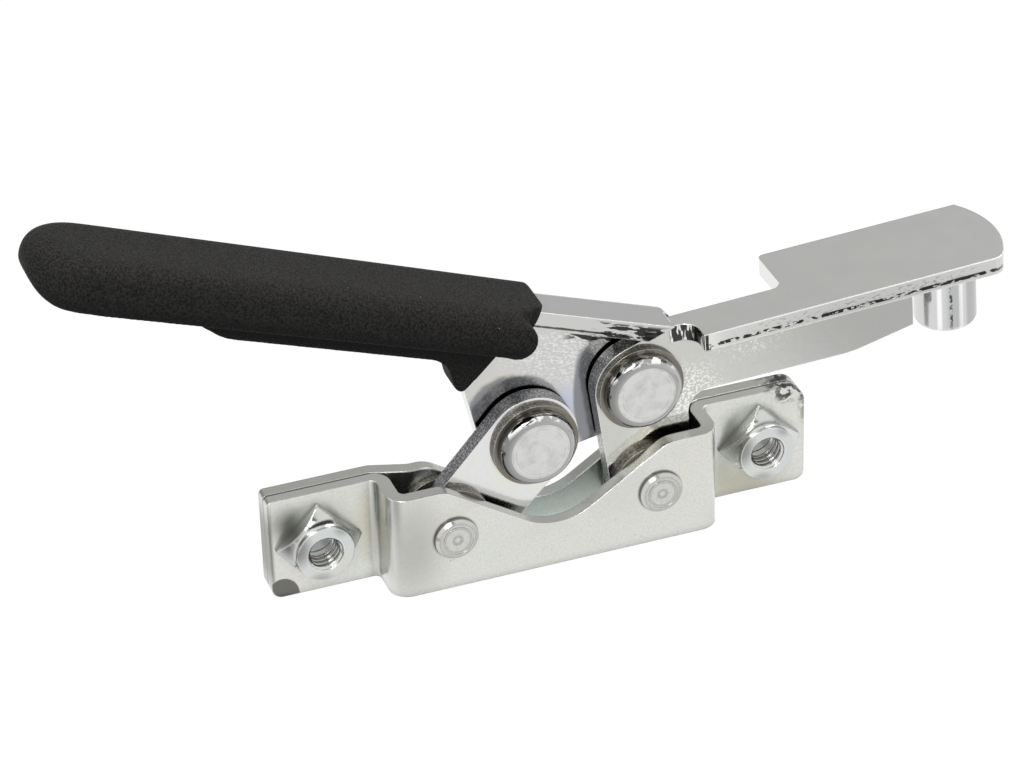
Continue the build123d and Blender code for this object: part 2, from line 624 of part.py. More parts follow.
# Hand lever: one stamping, a deep wall with a flange turned forward and a lip at the hand end
bare_lever = lever_form(0)
with BuildPart() as hand_lever:
    add(bare_lever.part)
    with BuildSketch(lever_side):
        Circle(PIN_D / 2 + SEAT_CLEAR)
        with Locations(lever_arm_eye):
            Circle(PIN_D / 2 + OPEN_PIVOT_CLEAR)
    extrude(amount=LEVER_SHEET, mode=Mode.SUBTRACT)
hand_lever.part.label = "hand_lever"
export_step(hand_lever.part, "parts/hand_lever.step")

# Dipped coating on the hand end, wrapped round both faces of the sheet
coated_lever = lever_form(COAT_T)
with BuildPart() as lever_grip:
    add(coated_lever.part)
    with BuildSketch(lever_side.offset(-2 * COAT_T)):
        Polygon(
            (COAT_END_U, 2 * LEVER_TOP_V), (COAT_END_U, COAT_BREAK_V), (COAT_BREAK_U, COAT_BREAK_V),
            (COAT_LUG_END_U, COAT_LUG_END_V), (COAT_LUG_END_U, -LEVER_TOP_V),
            (2 * LEVER_TOP_V, -LEVER_TOP_V), (2 * LEVER_TOP_V, 2 * LEVER_TOP_V), align=None,
        )
    extrude(amount=2 * LEVER_TOP_V, mode=Mode.SUBTRACT)
    lug_tip = lever_side.from_local_coords(Vector(COAT_LUG_END_U, COAT_LUG_END_V, 0))
    fillet(lever_grip.edges().filter_by(Axis.Y).sort_by_distance(lug_tip)[0], COAT_LUG_R)
    lobe_scrap = corner_scrap(
        lever_plan.offset(LEVER_TOP_V), COAT_END_U, LEVER_FLANGE_FRONT_Y - COAT_T, COAT_LOBE_R
    )
    extrude(lobe_scrap, amount=-LEVER_TOP_V - 2 * LEVER_SHEET, mode=Mode.SUBTRACT)
    add(hand_lever.part, mode=Mode.SUBTRACT)
lever_grip.part.label = "lever_grip"
export_step(lever_grip.part, "parts/lever_grip.step")

# Lever pins: big turned heads in front, peened over the lever's wall behind
seat_y = plate_front_y - HEAD_WASHER_T - 2 * FACE_CLEAR
face_y = seat_y - PIN_HEAD_HEIGHT
button_y = wall_back_y + FACE_CLEAR
end_y = button_y + PIN_BUTTON_HEIGHT
shank_r, head_r, button_r = PIN_D / 2, PIN_HEAD_D / 2, PIN_BUTTON_D / 2
flat_r, shoulder_y = head_r - PIN_HEAD_EDGE_R, face_y + PIN_HEAD_EDGE_R
for name, (pin_x, pin_z) in (("link_pin", link_pin_at), ("arm_pin", arm_pin_at)):
    with BuildPart() as lever_pin:
        with BuildSketch(Plane(origin=(pin_x, 0, pin_z), x_dir=(1, 0, 0), z_dir=(0, 0, 1))):
            with BuildLine():
                Line((0, face_y), (flat_r, face_y))
                RadiusArc((flat_r, face_y), (head_r, shoulder_y), -PIN_HEAD_EDGE_R)
                Polyline(
                    (head_r, shoulder_y), (head_r, seat_y), (shank_r, seat_y),
                    (shank_r, button_y), (button_r, button_y), (button_r, end_y - PIN_BUTTON_EDGE_R),
                    (button_r - PIN_BUTTON_EDGE_R, end_y), (0, end_y), (0, face_y),
                )
            make_face()
        revolve(axis=Axis((pin_x, 0, pin_z), (0, 1, 0)))
    lever_pin.part.label = name
    export_step(lever_pin.part, f"parts/{name}.step")
    with BuildPart() as head_washer:
        with BuildSketch(upright(pin_x, pin_z, 0, plate_front_y - FACE_CLEAR)):
            Circle(HEAD_WASHER_D / 2)
            Circle(PIN_D / 2 + SEAT_CLEAR, mode=Mode.SUBTRACT)
        extrude(amount=HEAD_WASHER_T)
    head_washer.part.label = f"{name}_head_washer"
    export_step(head_washer.part, f"parts/{name}_head_washer.step")
    with BuildPart() as shim:
        with BuildSketch(upright(pin_x, pin_z, 0, plate_back_y + FACE_CLEAR + shim_t)):
            Circle(SHIM_D / 2)
            Circle(PIN_D / 2 + SEAT_CLEAR, mode=Mode.SUBTRACT)
        extrude(amount=shim_t)
    shim.part.label = f"{name}_shim"
    export_step(shim.part, f"parts/{name}_shim.step")
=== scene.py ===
"""Looks of an over-centre hand latch: plated linkage, weld nuts and a dipped grip, in a white studio."""

import logging
from collections.abc import Sequence
from dataclasses import dataclass, replace
from enum import Enum
from math import cos, pi, radians, sin

import bmesh
import bpy
from mathutils import Matrix, Vector


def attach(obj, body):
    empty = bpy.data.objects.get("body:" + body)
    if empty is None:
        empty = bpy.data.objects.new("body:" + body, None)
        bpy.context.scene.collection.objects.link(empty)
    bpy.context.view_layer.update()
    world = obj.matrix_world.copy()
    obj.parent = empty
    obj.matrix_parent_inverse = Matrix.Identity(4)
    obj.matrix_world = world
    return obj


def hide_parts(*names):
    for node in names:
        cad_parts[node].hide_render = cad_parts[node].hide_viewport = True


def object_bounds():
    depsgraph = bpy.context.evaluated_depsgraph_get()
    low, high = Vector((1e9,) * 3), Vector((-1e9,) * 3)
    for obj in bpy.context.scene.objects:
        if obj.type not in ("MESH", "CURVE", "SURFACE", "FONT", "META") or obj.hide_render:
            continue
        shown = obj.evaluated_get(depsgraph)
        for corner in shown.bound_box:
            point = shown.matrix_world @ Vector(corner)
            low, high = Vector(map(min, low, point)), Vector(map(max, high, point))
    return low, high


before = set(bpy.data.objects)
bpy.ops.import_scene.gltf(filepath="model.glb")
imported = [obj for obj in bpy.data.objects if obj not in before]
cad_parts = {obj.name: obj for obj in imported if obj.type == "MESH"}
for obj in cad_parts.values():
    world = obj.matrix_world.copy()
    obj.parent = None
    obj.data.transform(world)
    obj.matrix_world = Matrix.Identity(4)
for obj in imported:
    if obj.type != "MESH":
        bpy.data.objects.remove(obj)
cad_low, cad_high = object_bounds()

log = logging.getLogger("latch")

MM = 0.001

Color = tuple[float, float, float]
Place = tuple[float, float]
Point = tuple[float, float, float]
Socket = bpy.types.NodeSocket
Value = float | Sequence[float] | Socket

BLACK: Color = (0.015, 0.015, 0.014)
# Dark warm grey, the marks' default colour; among others it fills the painted shadow rings round the rivets.
DARK_WARM_GREY: Color = (0.07, 0.068, 0.06)
WHITE: Color = (0.97, 0.97, 0.97)
COOL_SHADE: Color = (0.13, 0.14, 0.165)
DULL_ZINC: Color = (0.2, 0.185, 0.16)


class Body(Enum):
    """Bodies that carry the pieces made here, by their names in the frame."""

    BRACKET = "bracket"
    HANDLE = "handle"


class Side(Enum):
    """Faces that a mark lies on: the way they look, and the values where their share is 0 and 1."""

    ALL = ("", 0.0, 1.0)
    FRONT = ("front", 0.5, 0.8)
    TOP = ("up", 0.5, 0.8)
    EDGE = ("flat", 0.6, 0.3)
    UPRIGHT = ("up", 0.7, 0.4)


class Join(Enum):
    """What a tool's form does to a piece, in Blender's words."""

    CUT = "DIFFERENCE"
    GROW = "UNION"


def middle(node: str) -> Place:
    """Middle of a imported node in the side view, along the bracket and up, in millimetres."""
    xs, _, zs = zip(*(vertex.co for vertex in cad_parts[node].data.vertices))
    return (min(xs) + max(xs)) / 2 / MM, (min(zs) + max(zs)) / 2 / MM


def scaled(color: Color, share: float) -> Color:
    """Darken or brighten a colour by a share."""
    red, green, blue = color
    return red * share, green * share, blue * share


class Graph:
    """Node tree of a material or a world, built with short calls. Lengths in it are millimetres."""

    def __init__(self, owner: bpy.types.Material | bpy.types.World) -> None:
        """Start an empty tree.

        Args:
            owner: The material or world whose tree it is.
        """
        owner.use_nodes = True
        self.owner = owner
        self.tree = owner.node_tree
        self.tree.nodes.clear()

    def add(
        self, kind: str, inputs: dict[str | int, Value] | None = None, **settings: object
    ) -> bpy.types.Node:
        """Add a node.

        Args:
            kind: The node's class name, without the ShaderNode that starts them all.
            inputs: Socket name or index to a value, or to the socket that feeds it.
            settings: Properties of the node.

        Returns:
            The new node.
        """
        node = self.tree.nodes.new("ShaderNode" + kind)
        for key, value in settings.items():
            setattr(node, key, value)
        for key, value in (inputs or {}).items():
            self.feed(node.inputs[key], value)
        return node

    def feed(self, socket: Socket, value: Value) -> None:
        """Link a socket or set it.

        Args:
            socket: The input.
            value: A number, a row of numbers or the output that feeds it.
        """
        if isinstance(value, Socket):
            self.tree.links.new(value, socket)
        elif isinstance(value, (int, float)):
            socket.default_value = value
        else:
            width = len(socket.default_value)
            socket.default_value = (*value, 1.0)[:width]

    def math(self, operation: str, first: Value, second: Value = 0.0) -> Socket:
        """One sum on numbers.

        Args:
            operation: Blender's name for it.
            first: The first number.
            second: The second number.

        Returns:
            The result's socket.
        """
        return self.add("Math", {0: first, 1: second}, operation=operation).outputs[0]

    def product(self, *values: Value) -> Socket:
        """Product of several numbers.

        Args:
            values: The numbers, two or more.

        Returns:
            The result's socket.
        """
        result = values[0]
        for value in values[1:]:
            result = self.math("MULTIPLY", result, value)
        return result

    def vector(self, operation: str, first: Value, second: Value = (0, 0, 0)) -> bpy.types.Node:
        """One sum on vectors.

        Args:
            operation: Blender's name for it.
            first: The first vector.
            second: The second vector.

        Returns:
            The node, with a vector and a value among its outputs.
        """
        return self.add("VectorMath", {0: first, 1: second}, operation=operation)

    def fade(self, value: Value, start: float, end: float) -> Socket:
        """Smooth step of a value, 0 at start and 1 at end."""
        inputs = {"Value": value, "From Min": start, "From Max": end}
        return self.add("MapRange", inputs, interpolation_type="SMOOTHSTEP").outputs[0]

    def between(self, value: Value, low: float, high: float) -> Socket:
        """Map a share from 0 to 1 onto a range."""
        return self.add("MapRange", {"Value": value, "To Min": low, "To Max": high}).outputs[0]

    def ramp(self, value: Value, *stops: tuple[float, Color]) -> Socket:
        """Colour ramp.

        Args:
            value: The share that it reads.
            stops: Places from 0 to 1 and their colours.

        Returns:
            The colour's socket.
        """
        node = self.add("ValToRGB", {0: value})
        elements = node.color_ramp.elements
        while len(elements) < len(stops):
            elements.new(0.5)
        for element, (place, color) in zip(elements, stops):
            element.position = place
            element.color = (*color, 1.0)
        return node.outputs[0]

    def mix(self, share: Value, low: Value, high: Value, kind: str = "MIX") -> Socket:
        """Mix two colours.

        Args:
            share: How much of the second.
            low: The first colour.
            high: The second colour.
            kind: Blender's name for the way they mix.

        Returns:
            The colour's socket.
        """
        inputs = {0: share, 6: low, 7: high}
        return self.add("Mix", inputs, data_type="RGBA", blend_type=kind).outputs[2]

    def seen(self) -> Socket:
        """Tell what is seen from what lights.

        Returns:
            The socket of 1 for what is seen, straight, mirrored or through glass, and of 0 for the rest.
        """
        rays = self.add("LightPath")
        mirrored = self.math("MAXIMUM", rays.outputs["Is Glossy Ray"], rays.outputs["Is Transmission Ray"])
        return self.math("MAXIMUM", rays.outputs["Is Camera Ray"], mirrored)


class Finish(Graph):
    """Graph of a finish: one Principled shader, and what depends on the place on the object.

    Attributes:
        shader: The shader.
        place: Place on the object in millimetres.
        depth: How far back that is.
        front, up, left: How much a face looks that way, from -1 to 1.
        flat: How much it looks to the front or the back, from 0 to 1.
    """

    def __init__(self, name: str) -> None:
        """Start a finish.

        Args:
            name: The material's name.
        """
        super().__init__(bpy.data.materials.new(name))
        self.shader = self.add("BsdfPrincipled")
        self.add("OutputMaterial", {"Surface": self.shader.outputs[0]})
        places = self.add("TexCoord")
        self.place = self.vector("MULTIPLY", places.outputs["Object"], (1 / MM,) * 3).outputs[0]
        self.depth = self.add("SeparateXYZ", {0: self.place}).outputs["Y"]
        parts = self.add("SeparateXYZ", {0: places.outputs["Normal"]})
        self.front = self.math("MULTIPLY", parts.outputs["Y"], -1.0)
        self.flat = self.math("ABSOLUTE", parts.outputs["Y"])
        self.up = parts.outputs["Z"]
        self.left = self.math("MULTIPLY", parts.outputs["X"], -1.0)

    def surface(self, **inputs: Value) -> bpy.types.Material:
        """Feed the shader's inputs.

        Args:
            inputs: Their names, written with underscores, and values.

        Returns:
            The finished material.
        """
        for key, value in inputs.items():
            self.feed(self.shader.inputs[key.replace("_", " ").title().replace("Ior", "IOR")], value)
        return self.owner

    def noise(
        self, size: float, detail: float = 2.0, place: Socket | None = None, shift: float = 0.0
    ) -> Socket:
        """Even-grained noise.

        Args:
            size: Size of a grain in millimetres.
            detail: Octaves.
            place: Where it is read, the place on the object unless given.
            shift: Moves the noise, so that two of them differ.

        Returns:
            The socket of a value from 0 to 1.
        """
        moved = self.vector("ADD", place or self.place, (shift,) * 3).outputs[0]
        inputs = {"Vector": moved, "Scale": 1 / size, "Detail": detail}
        return self.add("TexNoise", inputs).outputs[0]

    def away(self, x: float, z: float) -> Socket:
        """Distance in the side view from a place, in millimetres."""
        level = self.vector("MULTIPLY", self.place, (1, 0, 1)).outputs[0]
        return self.vector("DISTANCE", level, (x, 0, z)).outputs["Value"]

    def on(self, side: Side) -> Value:
        """Share of a side: 1 on faces that look that way, 0 on the others."""
        look, start, end = side.value
        return self.fade(getattr(self, look), start, end) if look else 1.0

    def relief(self, height: Socket, depth: float, under: Socket | None = None) -> Socket:
        """Bump that keeps the normal below it.

        Args:
            height: Height from 0 to 1.
            depth: Depth of the full height in millimetres.
            under: Normal of a coarser relief.

        Returns:
            The normal's socket.
        """
        inputs: dict[str | int, Value] = {"Height": height, "Distance": depth * MM, "Strength": 1.0}
        if under is not None:
            inputs["Normal"] = under
        return self.add("Bump", inputs).outputs[0]

    def soft_edges(self, radius: float) -> Socket:
        """Normal that rounds the corners of stamped sheet."""
        return self.add("Bevel", {"Radius": radius * MM}, samples=6).outputs[0]

    def corner(self, rounded: Socket) -> Socket:
        """Share of a rounded corner, 0 on flat faces."""
        flat = self.add("NewGeometry").outputs["True Normal"]
        return self.fade(self.vector("DOT_PRODUCT", rounded, flat).outputs["Value"], 0.985, 0.9)

    def crevice(self, reach: float) -> Socket:
        """Share of open space within a reach, 0 in creases and 1 on open faces."""
        return self.add("AmbientOcclusion", {"Distance": reach * MM}, samples=6).outputs["AO"]


@dataclass(frozen=True)
class Axes:
    """Tilted axes of a piece in the side view: u along it, v across it.

    Attributes:
        x: Origin along the bracket in millimetres.
        z: Origin's height in millimetres.
        turn: Tilt in degrees.
    """

    x: float = 0.0
    z: float = 0.0
    turn: float = 0.0

    def read(self, graph: Finish) -> tuple[Socket, Socket]:
        """Place on the object along and across the axes.

        Args:
            graph: The finish that reads it.

        Returns:
            The sockets of the two lengths in millimetres.
        """
        lean = radians(self.turn)
        offset = graph.vector("SUBTRACT", graph.place, (self.x, 0, self.z)).outputs[0]
        along = graph.vector("DOT_PRODUCT", offset, (cos(lean), 0, sin(lean))).outputs["Value"]
        across = graph.vector("DOT_PRODUCT", offset, (-sin(lean), 0, cos(lean))).outputs["Value"]
        return along, across

    def point(self, u: float, v: float, y: float) -> Point:
        """Place on the bracket of a place on the axes, y deep, in millimetres."""
        lean = radians(self.turn)
        return self.x + u * cos(lean) - v * sin(lean), y, self.z + u * sin(lean) + v * cos(lean)


BRACKET_AXES = Axes()
ARM_AXES = Axes(*middle("pivot_rivet_right"), 2.9)
LEVER_AXES = Axes(*middle("link_pin"), -19.5)


@dataclass(frozen=True)
class Mark:
    """Stain, wear, dark streaks, painted shade or a painted highlight on part of a face.

    Attributes:
        u: Its middle along the axes in millimetres.
        v: Its middle across them.
        reach_u: How far it goes along them.
        reach_v: How far it goes across them.
        color: Its colour.
        amount: Share of the colour that it takes.
        axes: The piece's axes.
        side: The faces that it lies on.
        square: Whether its outline is a box and not an oval.
        soft: Share of the reach over which it fades out.
        hollow: Share of the reach that is left clean in its middle.
        ragged: Millimetres by which its outline wanders.
        grain: Size of the grains that break it up, or 0 for an even mark.
        streak: Scale of the grains along and across; less than 1 draws them out.
        cut: Noise levels between which a grain starts and is full.
    """

    u: float
    v: float
    reach_u: float
    reach_v: float
    color: Color = DARK_WARM_GREY
    amount: float = 0.9
    axes: Axes = BRACKET_AXES
    side: Side = Side.FRONT
    square: bool = False
    soft: float = 0.4
    hollow: float = 0.0
    ragged: float = 0.0
    grain: float = 0.0
    streak: tuple[float, float] = (1.0, 1.0)
    cut: tuple[float, float] = (0.46, 0.54)

    def paint(self, graph: Finish, color: Value) -> Socket:
        """Lay the mark over a colour.

        Args:
            graph: The finish that it is part of.
            color: The colour below.

        Returns:
            The colour with the mark.
        """
        along, across = self.axes.read(graph)
        off_u = graph.math("DIVIDE", graph.math("SUBTRACT", along, self.u), self.reach_u)
        off_v = graph.math("DIVIDE", graph.math("SUBTRACT", across, self.v), self.reach_v)
        if self.square:
            off = graph.math("MAXIMUM", graph.math("ABSOLUTE", off_u), graph.math("ABSOLUTE", off_v))
        else:
            spot = graph.add("CombineXYZ", {"X": off_u, "Y": off_v}).outputs[0]
            off = graph.vector("LENGTH", spot).outputs["Value"]
        if self.ragged:
            wander = self.ragged / self.reach_v
            off = graph.math("ADD", off, graph.between(graph.noise(1.5, 4), -wander, wander))
        share = graph.product(graph.fade(off, 1.0, 1.0 - self.soft), graph.on(self.side), self.amount)
        if self.hollow:
            share = graph.product(share, graph.fade(off, self.hollow - 0.04, self.hollow))
        if self.grain:
            spread = graph.add("CombineXYZ", {
                "X": graph.product(along, self.streak[0]), "Y": graph.product(across, self.streak[1]),
                "Z": graph.depth,
            }).outputs[0]
            share = graph.product(share, graph.fade(graph.noise(self.grain, 3, spread, self.u), *self.cut))
        return graph.mix(share, color, self.color)


@dataclass(frozen=True)
class Plating:
    """Plated steel, with its own gloss, tints, grain and dull punched edges, painted highlights on its
    rounded corners and painted shade in its creases.

    Attributes:
        name: The material's name.
        color: Colour of the plate.
        roughness: Its roughness.
        roughness_spread: How much the roughness wanders.
        tints: Three casts that it drifts between.
        tint_size: Size of the tint clouds in millimetres.
        grain_size: Size of its grain in millimetres.
        grain_depth: Depth of its grain in millimetres.
        wave_size: Size of its slow waves in millimetres.
        wave_depth: Depth of its slow waves in millimetres.
        edge_radius: Radius of its corners in millimetres.
        edge_highlight: How strongly a highlight is painted on its rounded corners.
        edge_color: Colour of its punched edges, if they differ.
        edge_range: Shares of that colour in their darkest and brightest speckles.
        edge_grain: Size of the speckles in millimetres.
        edge_roughness: Least roughness of the punched edges.
        crease_shade: How dark the painted shade in its creases is.
        crease_reach: Width of the painted crease shade in millimetres.
        mottle: How strongly its shade is mottled by spots.
        mottle_size: Size of the spots in millimetres.
        seam: Depth at which a dark seam shows on its edges, in millimetres.
        seam_reach: Distances from the seam where its line ends and is full, in millimetres.
        marks: Its stains, streaks, painted shade and painted highlights.
    """

    name: str
    color: Color
    roughness: float
    roughness_spread: float = 0.05
    tints: tuple[Color, Color, Color] = ((1, 0.995, 0.955), (0.985, 1, 0.99), (1, 0.985, 0.985))
    tint_size: float = 12.0
    grain_size: float = 0.5
    grain_depth: float = 0.004
    wave_size: float = 7.0
    wave_depth: float = 0.0
    edge_radius: float = 0.25
    edge_highlight: float = 0.3
    edge_color: Color | None = None
    edge_range: tuple[float, float] = (0.7, 2.4)
    edge_grain: float = 0.26
    edge_roughness: float = 0.34
    crease_shade: float = 0.55
    crease_reach: float = 3.0
    mottle: float = 0.03
    mottle_size: float = 0.42
    seam: float | None = None
    seam_reach: tuple[float, float] = (0.42, 0.2)
    marks: tuple[Mark, ...] = ()

    def material(self) -> bpy.types.Material:
        """Make the plating's material.

        Returns:
            The material.
        """
        graph = Finish(self.name)
        yellow, green, pink = self.tints
        tint = graph.ramp(graph.noise(self.tint_size, 3), (0.3, yellow), (0.5, green), (0.7, pink))
        color = graph.mix(1.0, self.color, tint, "MULTIPLY")
        spots = graph.fade(graph.noise(self.mottle_size, 4, shift=17), 0.35, 0.7)
        color = graph.mix(graph.product(spots, graph.on(Side.FRONT), self.mottle), color, BLACK)
        least, most = self.roughness - self.roughness_spread, self.roughness + self.roughness_spread
        rough = graph.between(graph.noise(4.0, 4, shift=7), least, most)
        if self.edge_color:
            edge = graph.on(Side.EDGE)
            speck = graph.fade(graph.noise(self.edge_grain, 3), 0.46, 0.66)
            dull = graph.mix(speck, *(scaled(self.edge_color, share) for share in self.edge_range))
            color = graph.mix(edge, color, dull)
            rough = graph.math("MAXIMUM", rough, graph.product(edge, self.edge_roughness))
        for mark in self.marks:
            color = mark.paint(graph, color)
        if self.seam is not None:
            off = graph.math("ABSOLUTE", graph.math("SUBTRACT", graph.depth, self.seam))
            line = graph.product(graph.fade(off, *self.seam_reach), graph.on(Side.EDGE), 0.9)
            color = graph.mix(line, color, BLACK)
        rounded = graph.soft_edges(self.edge_radius)
        # Painted highlight along the rounded corners.
        color = graph.mix(graph.product(graph.corner(rounded), self.edge_highlight), color, WHITE)
        # Painted shade in the creases.
        closed = graph.fade(graph.crevice(self.crease_reach), 0.75, 0.15)
        color = graph.mix(graph.product(closed, self.crease_shade), color, BLACK)
        normal = rounded
        if self.wave_depth:
            normal = graph.relief(graph.noise(self.wave_size, 1, shift=3), self.wave_depth, normal)
        normal = graph.relief(graph.noise(self.grain_size, 2, shift=11), self.grain_depth, normal)
        return graph.surface(base_color=color, metallic=1.0, roughness=rough, normal=normal)


@dataclass(frozen=True)
class TurnedSteel:
    """Turned pin: fine rings on its faces and a polished shoulder, with painted shade on the shoulder's left
    side and in the crease round the head, and painted reflections of window panes above.

    Attributes:
        name: The material's name.
        x: The pin's place along the bracket in millimetres.
        z: Its height in millimetres.
        color: Colour of the faces.
        face_r: Radius of the flat face in millimetres.
        ring_pitch: Spacing of the turned rings in millimetres.
        ring_depth: Depth of the rings in millimetres.
        blotch_size: Size of the face's pale blotches in millimetres.
        window_size: Size of the painted reflections of bright window panes on the shoulder, in millimetres.
        crease_reach: Width of the painted shade in the crease round the head, in millimetres.
        roughness: Roughness of the shoulder, and how much rougher the face is.
    """

    name: str
    x: float
    z: float
    color: Color = (0.7, 0.7, 0.685)
    face_r: float = 4.75
    ring_pitch: float = 0.3
    ring_depth: float = 0.004
    blotch_size: float = 1.6
    window_size: float = 1.3
    crease_reach: float = 2.5
    roughness: tuple[float, float] = (0.08, 0.24)

    def material(self) -> bpy.types.Material:
        """Make the turned finish.

        Returns:
            The material.
        """
        graph = Finish(self.name)
        radius = graph.away(self.x, self.z)
        inside = graph.fade(radius, self.face_r + 0.2, self.face_r)
        flat = graph.product(graph.fade(graph.flat, 0.8, 0.97), inside)
        rings = {"W": radius, "Scale": 1 / self.ring_pitch, "Detail": 2.0}
        ring = graph.add("TexNoise", rings, noise_dimensions="1D").outputs[0]
        blotch = graph.fade(graph.noise(self.blotch_size, 4), 0.35, 0.75)
        shade = graph.product(flat, graph.between(ring, 0.05, 0.85), graph.between(blotch, 0.3, 1.0))
        color = graph.mix(shade, self.color, scaled(self.color, 0.5))
        # Painted shade: the shoulder is darker where it faces left.
        left_shade = graph.fade(graph.left, -0.6, 0.7)
        dull = graph.product(graph.math("SUBTRACT", 1.0, flat), graph.between(left_shade, 0.45, 0.95))
        color = graph.mix(dull, color, scaled(self.color, 0.3))
        # Painted reflections of bright window panes on the upper shoulder.
        pane = graph.fade(graph.noise(self.window_size, 1), 0.48, 0.56)
        window_glint = graph.product(graph.fade(graph.up, 0.3, 0.6), pane)
        color = graph.mix(graph.product(window_glint, graph.fade(flat, 0.7, 0.2)), color, WHITE)
        # Painted shade in the crease round the head.
        closed = graph.fade(graph.crevice(self.crease_reach), 0.75, 0.2)
        color = graph.mix(graph.product(closed, 0.75), color, BLACK)
        normal = graph.relief(graph.product(ring, flat), self.ring_depth, graph.soft_edges(0.15))
        shoulder, extra = self.roughness
        rough = graph.math("ADD", shoulder, graph.product(flat, extra))
        return graph.surface(base_color=color, metallic=1.0, roughness=rough, normal=normal)


@dataclass(frozen=True)
class DipCoat:
    """Fine-grained matt dip coating, with painted light on its upper faces and painted shade along its lower
    side.

    Attributes:
        name: The material's name.
        color: Its colour.
        grain_size: Size of its grain in millimetres.
        grain_depth: Depth of its grain in millimetres.
        grain_range: Shares of its colour in the grain's darkest and brightest spots.
        top_light: How strongly painted light greys its upper faces.
        top_light_range: Shares of its colour in that painted lighter grey.
        speck_size: Size of the few pale specks in millimetres.
        speck_color: Colour of the specks.
        gloss: Its specular level.
        shade: Soft painted shade along the lower side.
    """

    name: str = "dip_coat"
    color: Color = (0.0148, 0.0143, 0.0137)
    grain_size: float = 0.3
    grain_depth: float = 0.06
    grain_range: tuple[float, float] = (0.4, 1.7)
    top_light: float = 0.6
    top_light_range: tuple[float, float] = (1.4, 3.5)
    speck_size: float = 0.6
    speck_color: Color = (0.3, 0.3, 0.28)
    gloss: float = 0.08
    shade: Mark = Mark(
        -45.0, 16.0, 70.0, 6.0, (0.0035, 0.0034, 0.0034), 0.9, LEVER_AXES, square=True, soft=0.95
    )

    def material(self) -> bpy.types.Material:
        """Make the coating's material.

        Returns:
            The material.
        """
        graph = Finish(self.name)
        grain = graph.noise(self.grain_size, 3)
        spots = graph.fade(grain, 0.35, 0.65)
        color = graph.mix(spots, *(scaled(self.color, share) for share in self.grain_range))
        # Painted light: the upper faces are greyed lighter.
        grey = graph.vector("SCALE", self.color)
        graph.feed(grey.inputs["Scale"], graph.between(spots, *self.top_light_range))
        lit_top = graph.product(graph.fade(graph.up, -0.2, 0.9), self.top_light)
        color = graph.mix(lit_top, color, grey.outputs[0])
        speck = graph.fade(graph.noise(self.speck_size, 0, shift=23), 0.88, 0.9)
        color = graph.mix(speck, color, self.speck_color)
        color = self.shade.paint(graph, color)
        normal = graph.relief(grain, self.grain_depth)
        rough = graph.between(graph.noise(3.0, 2, shift=5), 0.6, 0.75)
        return graph.surface(base_color=color, roughness=rough, normal=normal, specular_ior_level=self.gloss)


def dress(node: str, material: bpy.types.Material) -> None:
    """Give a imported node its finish.

    Args:
        node: The node's name.
        material: The finish.
    """
    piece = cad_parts[node]
    piece.data.materials.clear()
    piece.data.materials.append(material)
    log.info("%s dressed in %s", node, material.name)


def add_object(name: str, data: bpy.types.ID) -> bpy.types.Object:
    """Put an object into the scene.

    Args:
        name: Its name.
        data: Its mesh, lamp or camera.

    Returns:
        The object.
    """
    thing = bpy.data.objects.new(name, data)
    bpy.context.scene.collection.objects.link(thing)
    return thing


def new_object(form: bmesh.types.BMesh, name: str) -> bpy.types.Object:
    """Turn a form into an object in the scene and free the form.

    Args:
        form: The form.
        name: The object's name.

    Returns:
        The object.
    """
    mesh = bpy.data.meshes.new(name)
    form.to_mesh(mesh)
    form.free()
    return add_object(name, mesh)


def loft(name: str, rings: Sequence[Sequence[Point]]) -> bpy.types.Object:
    """Make a solid from closed rings of points, one behind the other, with its ends closed.

    Args:
        name: The object's name.
        rings: The rings, of as many points each, in millimetres.

    Returns:
        The object.
    """
    form = bmesh.new()
    loops = [[form.verts.new([length * MM for length in point]) for point in ring] for ring in rings]
    for near, far in zip(loops, loops[1:]):
        for i in range(len(near)):
            j = (i + 1) % len(near)
            form.faces.new((near[i], near[j], far[j], far[i]))
    form.faces.new(loops[0][::-1])
    form.faces.new(loops[-1])
    bmesh.ops.recalc_face_normals(form, faces=form.faces)
    return new_object(form, name)


def own_copy(node: str, name: str) -> bpy.types.Object:
    """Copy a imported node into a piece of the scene's own.

    Args:
        node: The node's name.
        name: The new piece's name.

    Returns:
        The piece.
    """
    form = bmesh.new()
    form.from_mesh(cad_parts[node].data)
    return new_object(form, name)


def settle(piece: bpy.types.Object) -> None:
    """Apply a piece's modifiers to its mesh.

    Args:
        piece: The piece.
    """
    graph = bpy.context.evaluated_depsgraph_get()
    mesh = bpy.data.meshes.new_from_object(piece.evaluated_get(graph))
    piece.modifiers.clear()
    old, piece.data = piece.data, mesh
    bpy.data.meshes.remove(old)


def combine(piece: bpy.types.Object, tool: bpy.types.Object, join: Join = Join.CUT) -> None:
    """Cut a tool's form out of a piece, or grow the piece by it, and remove the tool.

    Args:
        piece: The piece.
        tool: The object with the form.
        join: What the form does to the piece.
    """
    change = piece.modifiers.new(tool.name, "BOOLEAN")
    change.operation = join.value
    change.solver = "EXACT"
    change.object = tool
    settle(piece)
    bpy.data.objects.remove(tool)


def smooth(piece: bpy.types.Object, passes: int, group: str = "") -> None:
    """Apply a piece's modifiers and smooth its surface.

    Args:
        piece: The piece.
        passes: How often it is smoothed.
        group: The vertex group that says where and how much, or all of it unless given.
    """
    flow = piece.modifiers.new("flow", "SMOOTH")
    flow.factor = 0.5
    flow.iterations = passes
    flow.vertex_group = group
    settle(piece)


